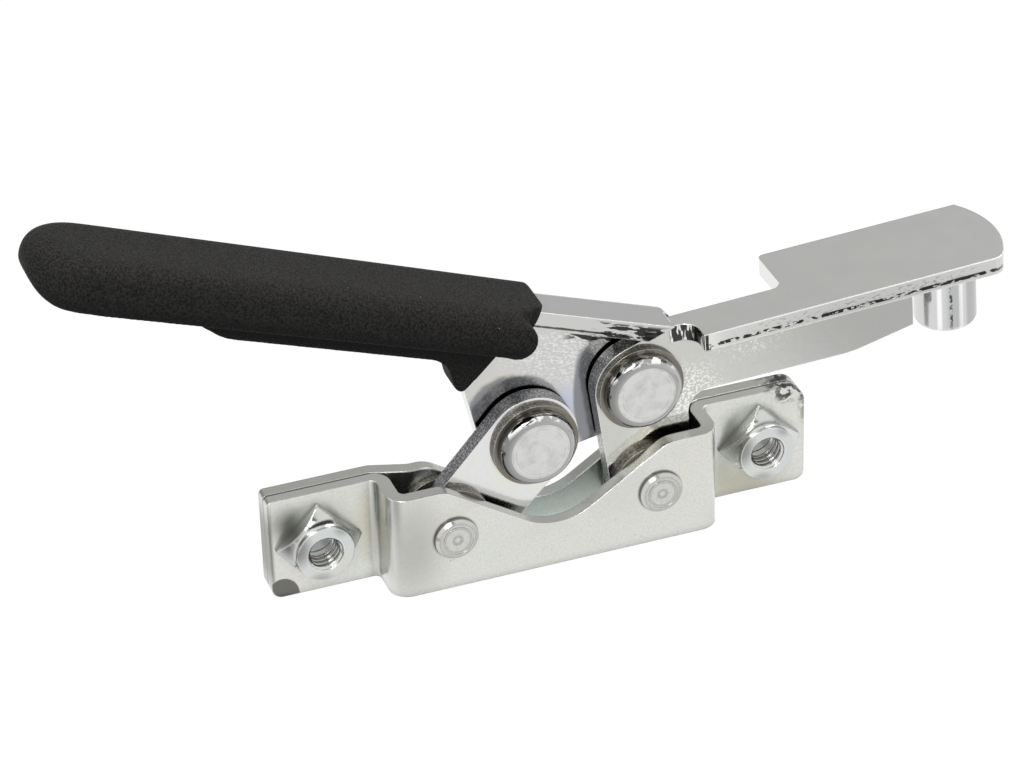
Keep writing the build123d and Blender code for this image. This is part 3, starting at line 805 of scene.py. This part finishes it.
def seat(piece: bpy.types.Object, body: Body, slot: str, material: bpy.types.Material, *nodes: str) -> None:
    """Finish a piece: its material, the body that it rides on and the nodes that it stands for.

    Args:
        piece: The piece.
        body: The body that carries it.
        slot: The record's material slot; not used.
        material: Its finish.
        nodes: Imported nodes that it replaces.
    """
    piece.data.materials.clear()
    piece.data.materials.append(material)
    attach(piece, body.value)
    if nodes:
        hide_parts(*nodes)
    log.info("%s rides on %s", piece.name, body.value)


def set_stage(piece: bpy.types.Object, material: bpy.types.Material) -> None:
    """Finish a piece of the studio.

    Args:
        piece: The piece.
        material: Its finish.
    """
    piece.data.materials.append(material)
    log.info("%s set up", piece.name)


def aim(thing: bpy.types.Object, centre: Point, axis: str) -> None:
    """Hang an object so that it points at the latch.

    Args:
        thing: The object.
        centre: Its place in metres.
        axis: The axis that points.
    """
    thing.location = centre
    thing.rotation_mode = "QUATERNION"
    thing.rotation_quaternion = (-Vector(centre)).to_track_quat(axis, "Y")


def rivet_shadow_ring(side: str) -> Mark:
    """Painted shadow ring that a rivet's head casts on the plate, widest above and to the left."""
    x, z = middle(f"pivot_rivet_{side}")
    return Mark(x - 0.1, z + 0.1, 3.95, 3.95, soft=0.12, hollow=0.8, amount=0.6)


def turned_rings(side: str) -> tuple[Mark, ...]:
    """Turned rings on a rivet's head, by their outer and inner radii and their strength."""
    x, z = middle(f"pivot_rivet_{side}")
    return tuple(
        Mark(x, z, outer, outer, amount=amount, soft=0.12, hollow=inner / outer)
        for outer, inner, amount in ((3.3, 2.9, 0.3), (2.55, 2.0, 0.22), (1.0, 0.45, 0.3))
    )


def nut_shade_and_bore(side: str) -> tuple[Mark, ...]:
    """Painted shade on the sides of a weld nut, and the dull rim of its bore."""
    x, z = middle(f"weld_nut_{side}")
    return (
        # Painted shade on the nut's left, upper right and lower sides.
        Mark(x - 4.6, z + 1.8, 3.2, 4.6, (0.13, 0.13, 0.12), 0.7, soft=0.8, side=Side.ALL),
        Mark(x + 3.0, z + 4.2, 2.2, 2.2, (0.2, 0.2, 0.19), 0.6, soft=0.8, side=Side.ALL),
        Mark(x - 1.2, z - 4.6, 3.0, 1.8, (0.2, 0.2, 0.19), 0.5, soft=0.8, side=Side.ALL),
        Mark(x, z, 2.68, 2.68, (0.2, 0.175, 0.14), 0.85, soft=0.05, side=Side.ALL),
    )


@dataclass
class Bracket:
    """Two stamped plates, weld nuts with real thread turns, rivets, thrust washers and the pins' washers.

    Attributes:
        thread_minor_r: Radius of a nut's bore in millimetres.
        thread_major_r: Radius of the thread's groove in millimetres.
        thread_overlap: How far the groove's cutter reaches into the bore in millimetres.
        thread_pitch: Pitch of the thread in millimetres.
        thread_turns: How many turns are cut.
        thread_steps: Steps of one turn.
        thread_start: Depth at which the first turn starts in millimetres.
        groove_half: Half the groove's width at the bore, as a share of the pitch.
        groove_floor: Width of the groove's floor, as a share of that at the bore.
        plate: Finish of the front plate, with painted shadows of the nut and the rivets and painted shade
            along its left bend.
        rear_shaded_color: Colour of the rear plate: a cooler tint, darkened to paint in the shade it lies in
            behind the front plate.
        dull_top: Dull upper edge of the rear plate.
        nut: Finish of the weld nuts, with painted shade on their sides.
        rivet: Finish of the pivot rivets.
        washer: Finish of the washers and shims.
    """

    thread_minor_r: float = 2.5
    thread_major_r: float = 3.02
    thread_overlap: float = 0.25
    thread_pitch: float = 1.0
    thread_turns: int = 5
    thread_steps: int = 36
    thread_start: float = -4.6
    groove_half: float = 0.46
    groove_floor: float = 0.18
    plate: Plating = Plating(
        "satin_zinc", (0.71, 0.71, 0.68), 0.26, edge_highlight=0.35, grain_depth=0.006, wave_size=4.0,
        wave_depth=0.03, edge_radius=0.4, mottle=0.08, seam=2.2, crease_shade=0.75,
        marks=(
            Mark(-6.3, -9.2, 2.9, 3.7, (0.1, 0.1, 0.092), 0.9, soft=0.06, ragged=0.08),
            Mark(-6.6, -9.6, 3.6, 1.4, DARK_WARM_GREY, 0.75, soft=0.5, ragged=0.3, side=Side.ALL),
            # Painted shadow of the left nut on the flange, above and to its left.
            Mark(-4.8, 4.4, 4.4, 4.6, (0.14, 0.14, 0.13), 0.75, soft=0.9),
            Mark(-8.1, 0.0, 0.9, 9.5, (0.16, 0.15, 0.12), 0.85, side=Side.ALL, square=True, soft=0.7,
                 ragged=0.3),
            Mark(37.4, 5.0, 60.0, 9.0, (0.36, 0.35, 0.31), 0.15, side=Side.TOP, square=True, soft=0.1),
            Mark(7.6, 1.0, 2.0, 9.0, (0.75, 0.62, 0.4), 0.3, soft=0.9),
            # Painted shade: a darker stripe along the left bend.
            Mark(9.6, 0.0, 1.2, 9.5, (0.35, 0.36, 0.33), 0.5, soft=0.9, square=True, side=Side.ALL),
            Mark(5.2, -3.0, 2.4, 6.0, (0.45, 0.6, 0.62), 0.25, soft=0.9),
            Mark(68.5, -2.0, 3.0, 7.0, (0.3, 0.31, 0.28), 0.5, soft=0.9),
            Mark(72.0, -7.0, 11.0, 7.0, (0.4, 0.39, 0.3), 0.75, soft=0.9),
            Mark(13.0, 0.0, 8.0, 14.0, (0.42, 0.42, 0.39), 0.75, soft=0.9),
            Mark(2.0, 0.0, 9.0, 12.0, (0.5, 0.49, 0.4), 0.5, soft=0.9),
            Mark(37.4, 3.0, 60.0, 7.5, (0.55, 0.55, 0.51), 0.25, soft=0.7, grain=9.0),
            Mark(40.0, -5.0, 45.0, 5.0, (0.2, 0.2, 0.18), 0.35, grain=0.5, cut=(0.66, 0.74)),
            Mark(82.0, 8.8, 6.4, 3.2, BLACK, 0.9, side=Side.ALL, soft=0.5, ragged=1.6, grain=1.3,
                 cut=(0.42, 0.52)),
            Mark(83.2, 5.6, 1.9, 5.4, BLACK, 0.55, side=Side.ALL, soft=0.6, ragged=1.2, grain=1.1,
                 cut=(0.43, 0.54)),
            # Painted shadow rings round the rivets' heads.
            rivet_shadow_ring("left"),
            rivet_shadow_ring("right"),
        ),
    )
    # Cooler than the front plate, and darker with painted shade, as the rear plate lies behind it.
    rear_shaded_color: Color = (0.6, 0.65, 0.645)
    dull_top: Mark = Mark(
        37.4, 9.0, 60.0, 9.0, (0.64, 0.635, 0.59), 0.9, side=Side.TOP, square=True, soft=0.1
    )
    nut: Plating = Plating(
        "nut_zinc", (0.66, 0.67, 0.65), 0.17, wave_depth=0.12, wave_size=3.0, edge_radius=0.45,
        edge_highlight=0.5, tints=((1, 0.98, 0.93), (0.96, 0.99, 1), (0.93, 0.97, 1)), tint_size=5.0,
        marks=nut_shade_and_bore("left") + nut_shade_and_bore("right"),
    )
    rivet: Plating = Plating(
        "rivet_zinc", (0.62, 0.62, 0.6), 0.22, edge_radius=0.15, edge_highlight=0.2, wave_depth=0.04, mottle=0.12,
        marks=turned_rings("left") + turned_rings("right"),
    )
    washer: Plating = Plating(
        "dull_zinc", DULL_ZINC, 0.24, edge_color=DULL_ZINC, edge_highlight=0.6, edge_radius=0.12
    )

    def thread_cutter(self, x: float, z: float) -> bpy.types.Object:
        """Make the groove of a nut's thread as a solid helix.

        Args:
            x: The screw's place along the bracket in millimetres.
            z: Its height in millimetres.

        Returns:
            The cutter.
        """
        inner, outer = self.thread_minor_r - self.thread_overlap, self.thread_major_r
        half = self.thread_pitch * self.groove_half
        floor = half * self.groove_floor
        section = ((inner, -half), (outer, -floor), (outer, floor), (inner, half))
        rings = []
        for step in range(self.thread_turns * self.thread_steps + 1):
            turn = 2 * pi * step / self.thread_steps
            along = self.thread_start + self.thread_pitch * step / self.thread_steps
            rings.append([(x + r * cos(turn), along + shift, z + r * sin(turn)) for r, shift in section])
        return loft("thread_cutter", rings)

    def threaded_nut(self, side: str, material: bpy.types.Material) -> None:
        """Replace a bored nut with one that has its thread cut.

        Args:
            side: left or right.
            material: The nut's finish.
        """
        node = f"weld_nut_{side}"
        nut = own_copy(node, f"threaded_nut_{side}")
        combine(nut, self.thread_cutter(*middle(node)))
        seat(nut, Body.BRACKET, "nut_zinc", material, node)

    def build(self) -> None:
        """Dress the bracket's nodes and all washers, and cut the nuts' threads."""
        marks = (self.dull_top, *self.plate.marks)
        rear = replace(self.plate, name="cool_shaded_zinc", color=self.rear_shaded_color, seam=None, marks=marks)
        dress("bracket_front_plate", self.plate.material())
        dress("bracket_rear_plate", rear.material())
        nut, rivet, washer = self.nut.material(), self.rivet.material(), self.washer.material()
        for side in ("left", "right"):
            self.threaded_nut(side, nut)
            dress(f"pivot_rivet_{side}", rivet)
            for place in ("front", "rear"):
                dress(f"thrust_washer_{side}_{place}", washer)
        for pin in ("link_pin", "arm_pin"):
            dress(f"{pin}_head_washer", washer)
            dress(f"{pin}_shim", washer)


@dataclass
class Linkage:
    """Link, latch arm, T-shaped plate and locating stud.

    Attributes:
        link: Finish of the link.
        arm: Finish of the arm plate, with painted glints and painted shade on its right end.
        top: Finish of the T-shaped plate.
        stud: Finish of the locating stud, with painted reflections of the room and the lamps.
    """

    link: Plating = Plating(
        "link_chrome", (0.76, 0.76, 0.75), 0.14, edge_color=(0.36, 0.36, 0.365), wave_depth=0.02,
        tints=((1, 0.98, 0.9), (0.97, 0.98, 1), (1, 0.96, 0.95)), tint_size=8.0, edge_highlight=0.5,
    )
    arm: Plating = Plating(
        "arm_chrome", (0.585, 0.585, 0.565), 0.14, edge_color=(0.36, 0.36, 0.36), wave_depth=0.03,
        wave_size=2.0, edge_highlight=0.6,
        marks=(
            # Painted glints: white specks on the orange-peel plating near the throat.
            Mark(6.0, 14.0, 10.0, 8.5, WHITE, 0.75, ARM_AXES, soft=0.8, grain=0.38, cut=(0.48, 0.6)),
            Mark(18.0, 20.5, 9.0, 4.0, WHITE, 0.6, ARM_AXES, soft=0.8, grain=0.34, cut=(0.56, 0.64)),
            Mark(0.0, 4.0, 6.0, 10.0, (0.92, 0.85, 0.72), 0.5, ARM_AXES, soft=0.9),
            # Painted shade: the arm's right end is darker.
            Mark(42.0, 18.0, 20.0, 12.0, (0.5, 0.5, 0.5), 0.3, ARM_AXES, soft=0.9),
        ),
    )
    top: Plating = Plating(
        "top_chrome", (0.8, 0.8, 0.775), 0.2, wave_depth=0.01, edge_highlight=1.0, edge_radius=0.3,
        tints=((1, 1, 0.99), (0.99, 1, 1), (1, 0.99, 0.99)),
        marks=(
            Mark(35.6, 25.9, 28.0, 1.5, (0.6, 0.6, 0.585), 0.8, ARM_AXES, square=True, soft=0.2),
            Mark(35.6, 26.1, 27.0, 1.2, (0.25, 0.25, 0.24), 0.6, ARM_AXES, square=True, soft=0.6,
                 grain=0.45, streak=(0.5, 1.0), cut=(0.54, 0.66)),
            Mark(34.6, 25.3, 28.5, 0.36, BLACK, 0.97, ARM_AXES, square=True, soft=0.2,
                 grain=0.6, streak=(0.6, 1.0), cut=(0.46, 0.49)),
            Mark(6.9, 25.9, 2.8, 1.7, BLACK, 0.95, ARM_AXES, Side.UPRIGHT, square=True, soft=0.1,
                 grain=0.75, streak=(1.0, 0.16), cut=(0.47, 0.5)),
        ),
    )
    stud: Plating = Plating(
        "stud_chrome", (0.66, 0.66, 0.66), 0.14, wave_depth=0.01,
        tints=((1, 1, 0.98), (0.98, 0.99, 1), (1, 0.98, 0.98)),
        marks=(
            # Painted reflections: a dark stripe of the room down the middle, a grey right side and two bright
            # stripes of the lamps.
            Mark(52.6, 19.0, 0.3, 6.5, BLACK, 0.85, ARM_AXES, Side.ALL, square=True, grain=0.5,
                 streak=(1, 0.7)),
            Mark(57.4, 18.0, 2.4, 9.0, (0.42, 0.42, 0.415), 0.85, ARM_AXES, Side.ALL, square=True, soft=0.3),
            Mark(50.9, 18.0, 0.45, 7.5, WHITE, 0.9, ARM_AXES, Side.ALL, square=True, soft=0.6),
            Mark(54.3, 18.0, 0.5, 7.5, WHITE, 0.9, ARM_AXES, Side.ALL, square=True, soft=0.6),
        ),
    )

    def build(self) -> None:
        """Dress the link and the arm."""
        dress("link_plate", self.link.material())
        dress("latch_arm_plate", self.arm.material())
        dress("latch_top_plate", self.top.material())
        dress("latch_stud", self.stud.material())


@dataclass
class HandLever:
    """Stamped lever, its dipped coating and the two pins. Outlines are in the lever's axes.

    Attributes:
        voxel: Cell of the coat's mesh in millimetres.
        coat_passes: How often its surface is smoothed.
        arc_steps: Steps of a full circle in the lip's forms.
        lip_round: Middle and radius of the lip's rounded end.
        corner_reach: How far the cut of the lip's corner reaches, well past the coat.
        corner_depth: Depths of that cut's front and back in millimetres.
        notch: Outline of the notch between the two lobes.
        notch_depth: Depths of the notch's front and back.
        nose_depth: Depths of the front and back of the round nose.
        end_u: Where the coat's rounded hand end starts, along the lever in millimetres.
        end_blend: Length over which its rounding grows.
        end_passes: How often that end is smoothed.
        steel: The lever's finish, with painted glints, painted reflections of the link's and arm's edges and
            a painted shadow line under the flange.
        coat: The grip's finish.
    """

    voxel: float = 0.34
    coat_passes: int = 18
    arc_steps: int = 48
    lip_round: tuple[float, float, float] = (-11.95, 20.6, 3.0)
    corner_reach: float = 12.0
    corner_depth: tuple[float, float] = (-14.0, -9.0)
    notch: tuple[Place, ...] = ((-6.9, 22.8), (-8.4, 20.1), (-9.0, 18.0), (-4.0, 18.0), (-4.0, 22.8))
    notch_depth: tuple[float, float] = (-8.0, -5.5)
    nose_depth: tuple[float, float] = (-12.1, -9.4)
    end_u: float = -79.0
    end_blend: float = 9.0
    end_passes: int = 50
    steel: Plating = Plating(
        "lever_chrome", (0.77, 0.77, 0.75), 0.15, wave_depth=0.02, wave_size=1.6, edge_highlight=0.9,
        tints=((1, 0.985, 0.94), (0.965, 0.98, 1), (1, 0.985, 0.98)), tint_size=8.0, mottle=0.08,
        marks=(
            Mark(0.0, 12.0, 30.0, 22.0, (0.55, 0.55, 0.535), 0.85, LEVER_AXES, square=True),
            # Painted glints: white specks on the rough wall.
            Mark(2.0, 14.0, 16.0, 8.0, WHITE, 0.4, LEVER_AXES, soft=0.8, grain=0.32,
                 streak=(0.6, 1.0), cut=(0.46, 0.62)),
            Mark(-7.0, 6.0, 6.0, 7.0, (0.8, 0.68, 0.45), 0.25, LEVER_AXES, soft=0.9),
            Mark(5.0, 5.0, 3.0, 6.0, (0.4, 0.55, 0.85), 0.35, LEVER_AXES, soft=0.9),
            # Painted reflections of the link's and arm's dark edges on the wall.
            Mark(-4.5, 2.6, 7.4, 7.4, COOL_SHADE, 0.75, LEVER_AXES, soft=0.14, ragged=0.5),
            Mark(45.1, 16.0, 2.5, 10.5, COOL_SHADE, 0.75, BRACKET_AXES, soft=0.25, ragged=0.5),
            Mark(8.6, 18.6, 8.2, 2.1, BLACK, 0.95, LEVER_AXES, square=True, soft=0.3, grain=1.0,
                 streak=(0.35, 1.3), cut=(0.45, 0.5)),
            Mark(10.0, 21.4, 8.0, 1.7, BLACK, 0.95, LEVER_AXES, square=True, soft=0.35, grain=0.9,
                 streak=(0.35, 1.3), cut=(0.46, 0.5)),
            Mark(14.5, 21.0, 3.4, 1.4, BLACK, 0.95, LEVER_AXES, square=True, soft=0.4, ragged=0.5),
            # Painted shadow: a thin dark line under the flange's front edge.
            Mark(-1.5, 20.9, 10.0, 0.22, BLACK, 0.85, LEVER_AXES, square=True, soft=0.3, ragged=0.2),
        ),
    )
    coat: DipCoat = DipCoat()

    def prism(self, name: str, outline: Sequence[Place], depths: tuple[float, float]) -> bpy.types.Object:
        """Make a solid from its outline in the lever's axes and the depths of its front and back."""
        return loft(name, [[LEVER_AXES.point(u, v, y) for u, v in outline] for y in depths])

    def round_lip(self, skin: bpy.types.Object) -> None:
        """Cut the lip's corner and the notch between the two lobes, and add the lower lobe's round nose.

        Args:
            skin: The coat.
        """
        u, v, radius = self.lip_round
        far = self.corner_reach
        angles = [2 * pi * step / self.arc_steps for step in range(self.arc_steps)]
        corner = [(u + radius, v), (u + far, v), (u + far, v + far), (u, v + far)]
        quarter = angles[: self.arc_steps // 4]
        corner += [(u + radius * sin(angle), v + radius * cos(angle)) for angle in quarter]
        nose = [(u + radius * cos(angle), v + radius * sin(angle)) for angle in angles]
        combine(skin, self.prism("lip_corner", corner, self.corner_depth))
        combine(skin, self.prism("lip_notch", self.notch, self.notch_depth))
        combine(skin, self.prism("lip_nose", nose, self.nose_depth), Join.GROW)

    def round_end(self, skin: bpy.types.Object) -> None:
        """Smooth the coat's hand end until it is as round as a dipped end.

        Args:
            skin: The coat.
        """
        lean = radians(LEVER_AXES.turn)
        along = Vector((cos(lean), 0, sin(lean)))
        origin = Vector((LEVER_AXES.x, 0, LEVER_AXES.z)) * MM
        group = skin.vertex_groups.new(name="end")
        for vertex in skin.data.vertices:
            past = self.end_u - (vertex.co - origin).dot(along) / MM
            if past > 0:
                group.add([vertex.index], min(past / self.end_blend, 1.0), "REPLACE")
        smooth(skin, self.end_passes, group.name)

    def coating(self) -> None:
        """Grow the dipped coat from its solid, with two round lobes at its end and soft edges."""
        skin = own_copy("lever_grip", "dipped_grip")
        self.round_lip(skin)
        remesh = skin.modifiers.new("skin", "REMESH")
        remesh.mode = "VOXEL"
        remesh.voxel_size = self.voxel * MM
        remesh.use_smooth_shade = True
        smooth(skin, self.coat_passes)
        self.round_end(skin)
        seat(skin, Body.HANDLE, "grip_coating", self.coat.material(), "lever_grip")

    def build(self) -> None:
        """Dress the lever and its pins, and grow the coat."""
        dress("hand_lever", self.steel.material())
        for pin in ("link_pin", "arm_pin"):
            dress(pin, TurnedSteel(f"{pin}_steel", *middle(pin)).material())
        self.coating()


@dataclass(frozen=True)
class Card:
    """Even card that shows only in the latch's reflections.

    Attributes:
        name: Its name.
        centre: Its middle in metres.
        size: Its side in metres.
        shade: How bright it looks.
        soft: Whether it fades out to its rim.
    """

    name: str
    centre: Point
    size: float
    shade: float
    soft: bool = False

    def hang(self) -> None:
        """Hang the card so that it faces the latch, or lay it down if it is soft."""
        form = bmesh.new()
        bmesh.ops.create_grid(form, x_segments=1, y_segments=1, size=self.size / 2)
        card = new_object(form, self.name)
        graph = Graph(bpy.data.materials.new(self.name))
        glow = graph.add("Emission", {"Color": (self.shade,) * 3}).outputs[0]
        if self.soft:
            card.location = self.centre
            place = graph.add("TexCoord").outputs["Object"]
            away = graph.vector("LENGTH", place).outputs["Value"]
            clear = graph.add("BsdfTransparent").outputs[0]
            share = graph.fade(away, self.size / 2, 0.1 * self.size)
            glow = graph.add("MixShader", {0: share, 1: clear, 2: glow}).outputs[0]
        else:
            aim(card, self.centre, "Z")
        graph.add("OutputMaterial", {"Surface": glow})
        card.visible_camera = False
        card.visible_diffuse = False
        card.visible_shadow = False
        set_stage(card, graph.owner)


@dataclass(frozen=True)
class Lamp:
    """Soft box.

    Attributes:
        name: Its name.
        centre: Its middle in metres.
        size: Its side in metres.
        power: Its power in watts.
    """

    name: str
    centre: Point
    size: float
    power: float

    def hang(self) -> None:
        """Hang the lamp so that it points at the latch."""
        data = bpy.data.lights.new(self.name, "AREA")
        data.shape = "SQUARE"
        data.size = self.size
        data.energy = self.power
        aim(add_object(self.name, data), self.centre, "-Z")
        log.info("%s lamp hung", self.name)


@dataclass
class Studio:
    """Fitted camera, pale floor, soft lights and the cards that the chrome mirrors.

    Attributes:
        camera_at: The camera's place in millimetres.
        azimuth: Its turn round the latch in degrees.
        elevation: Its height above the level in degrees.
        roll: Its roll in degrees.
        lens: Its focal length in millimetres.
        sensor: Width of its sensor in millimetres.
        floor_reach: Radius of the floor in metres.
        floor_gap: Air between the floor and the bracket in millimetres.
        floor_color: Colour of the floor where it is lit.
        floor_glow: Share of the floor's white that is seen without any light.
        floor_white: How bright that white is.
        room_light: How bright the white surround is for what it lights; what is seen of it is 1.
        lamps: The soft boxes.
        cards: The cards.
    """

    camera_at: Point = (-161.57, -553.69, 387.78)
    azimuth: float = -19.361
    elevation: float = 32.003
    roll: float = -1.808
    lens: float = 155.645
    sensor: float = 36.0
    floor_reach: float = 4.0
    floor_gap: float = 0.2
    floor_color: Color = (0.8, 0.8, 0.8)
    floor_glow: float = 0.93
    floor_white: float = 1.045
    room_light: float = 0.6
    lamps: tuple[Lamp, ...] = (
        Lamp("key", (-0.5, -0.7, 1.1), 0.6, 7.0),
        Lamp("rim", (0.7, 0.5, 0.9), 0.5, 3.0),
    )
    cards: tuple[Card, ...] = (
        Card("backdrop_card", (0.35, 1.0, 0.55), 1.5, 0.52),
        Card("side_card", (-0.75, 0.85, 0.4), 0.9, 0.3),
        Card("room_card", (-0.3, -1.2, 1.5), 0.9, 0.1),
        Card("right_patch", (0.118, -0.05, -0.0088), 0.075, 0.75, soft=True),
        Card("left_patch", (-0.024, -0.024, -0.0088), 0.05, 0.2, soft=True),
    )

    def camera(self) -> None:
        """Set up the camera at the photograph's viewpoint."""
        turn, rise, lean = radians(self.azimuth), radians(self.elevation), radians(self.roll)
        right = Vector((cos(turn), sin(turn), 0))
        back = Vector((sin(turn) * cos(rise), -cos(turn) * cos(rise), sin(rise)))
        up = back.cross(right)
        tilted = right * cos(lean) + up * sin(lean)
        upward = up * cos(lean) - right * sin(lean)
        data = bpy.data.cameras.new("camera")
        data.lens = self.lens
        data.sensor_width = self.sensor
        data.clip_start = 0.01
        camera = add_object("camera", data)
        stance = Matrix((tilted, upward, back)).transposed().to_4x4()
        camera.matrix_world = Matrix.Translation(Vector(self.camera_at) * MM) @ stance
        bpy.context.scene.camera = camera

    def floor(self) -> None:
        """Lay the floor just under the bracket. It looks white, with a faint shadow."""
        form = bmesh.new()
        bmesh.ops.create_circle(form, cap_ends=True, segments=96, radius=self.floor_reach)
        floor = new_object(form, "floor")
        floor.location = (0, 0, cad_low.z - self.floor_gap * MM)
        graph = Graph(bpy.data.materials.new("white_floor"))
        lit = graph.add("BsdfDiffuse", {"Color": self.floor_color}).outputs[0]
        glow = graph.add("Emission", {"Strength": self.floor_white}).outputs[0]
        share = graph.product(graph.seen(), self.floor_glow)
        mixed = graph.add("MixShader", {0: share, 1: lit, 2: glow}).outputs[0]
        graph.add("OutputMaterial", {"Surface": mixed})
        set_stage(floor, graph.owner)

    def world(self) -> None:
        """White surround for what the camera and the metal see, softer for what it lights."""
        world = bpy.data.worlds.new("white_room")
        bpy.context.scene.world = world
        graph = Graph(world)
        strength = graph.between(graph.seen(), self.room_light, 1.0)
        back = graph.add("Background", {"Color": (1, 1, 1), "Strength": strength}).outputs[0]
        graph.add("OutputWorld", {"Surface": back})

    def build(self) -> None:
        """Set up the camera, the floor, the lights and the cards."""
        self.camera()
        self.floor()
        self.world()
        for thing in (*self.lamps, *self.cards):
            thing.hang()
        bpy.context.scene.view_settings.view_transform = "Standard"


def main() -> None:
    """Build the studio and the latch."""
    logging.basicConfig(level=logging.INFO, format="%(name)s: %(message)s")
    Studio().build()
    Bracket().build()
    Linkage().build()
    HandLever().build()


if __name__ == "__main__":
    main()
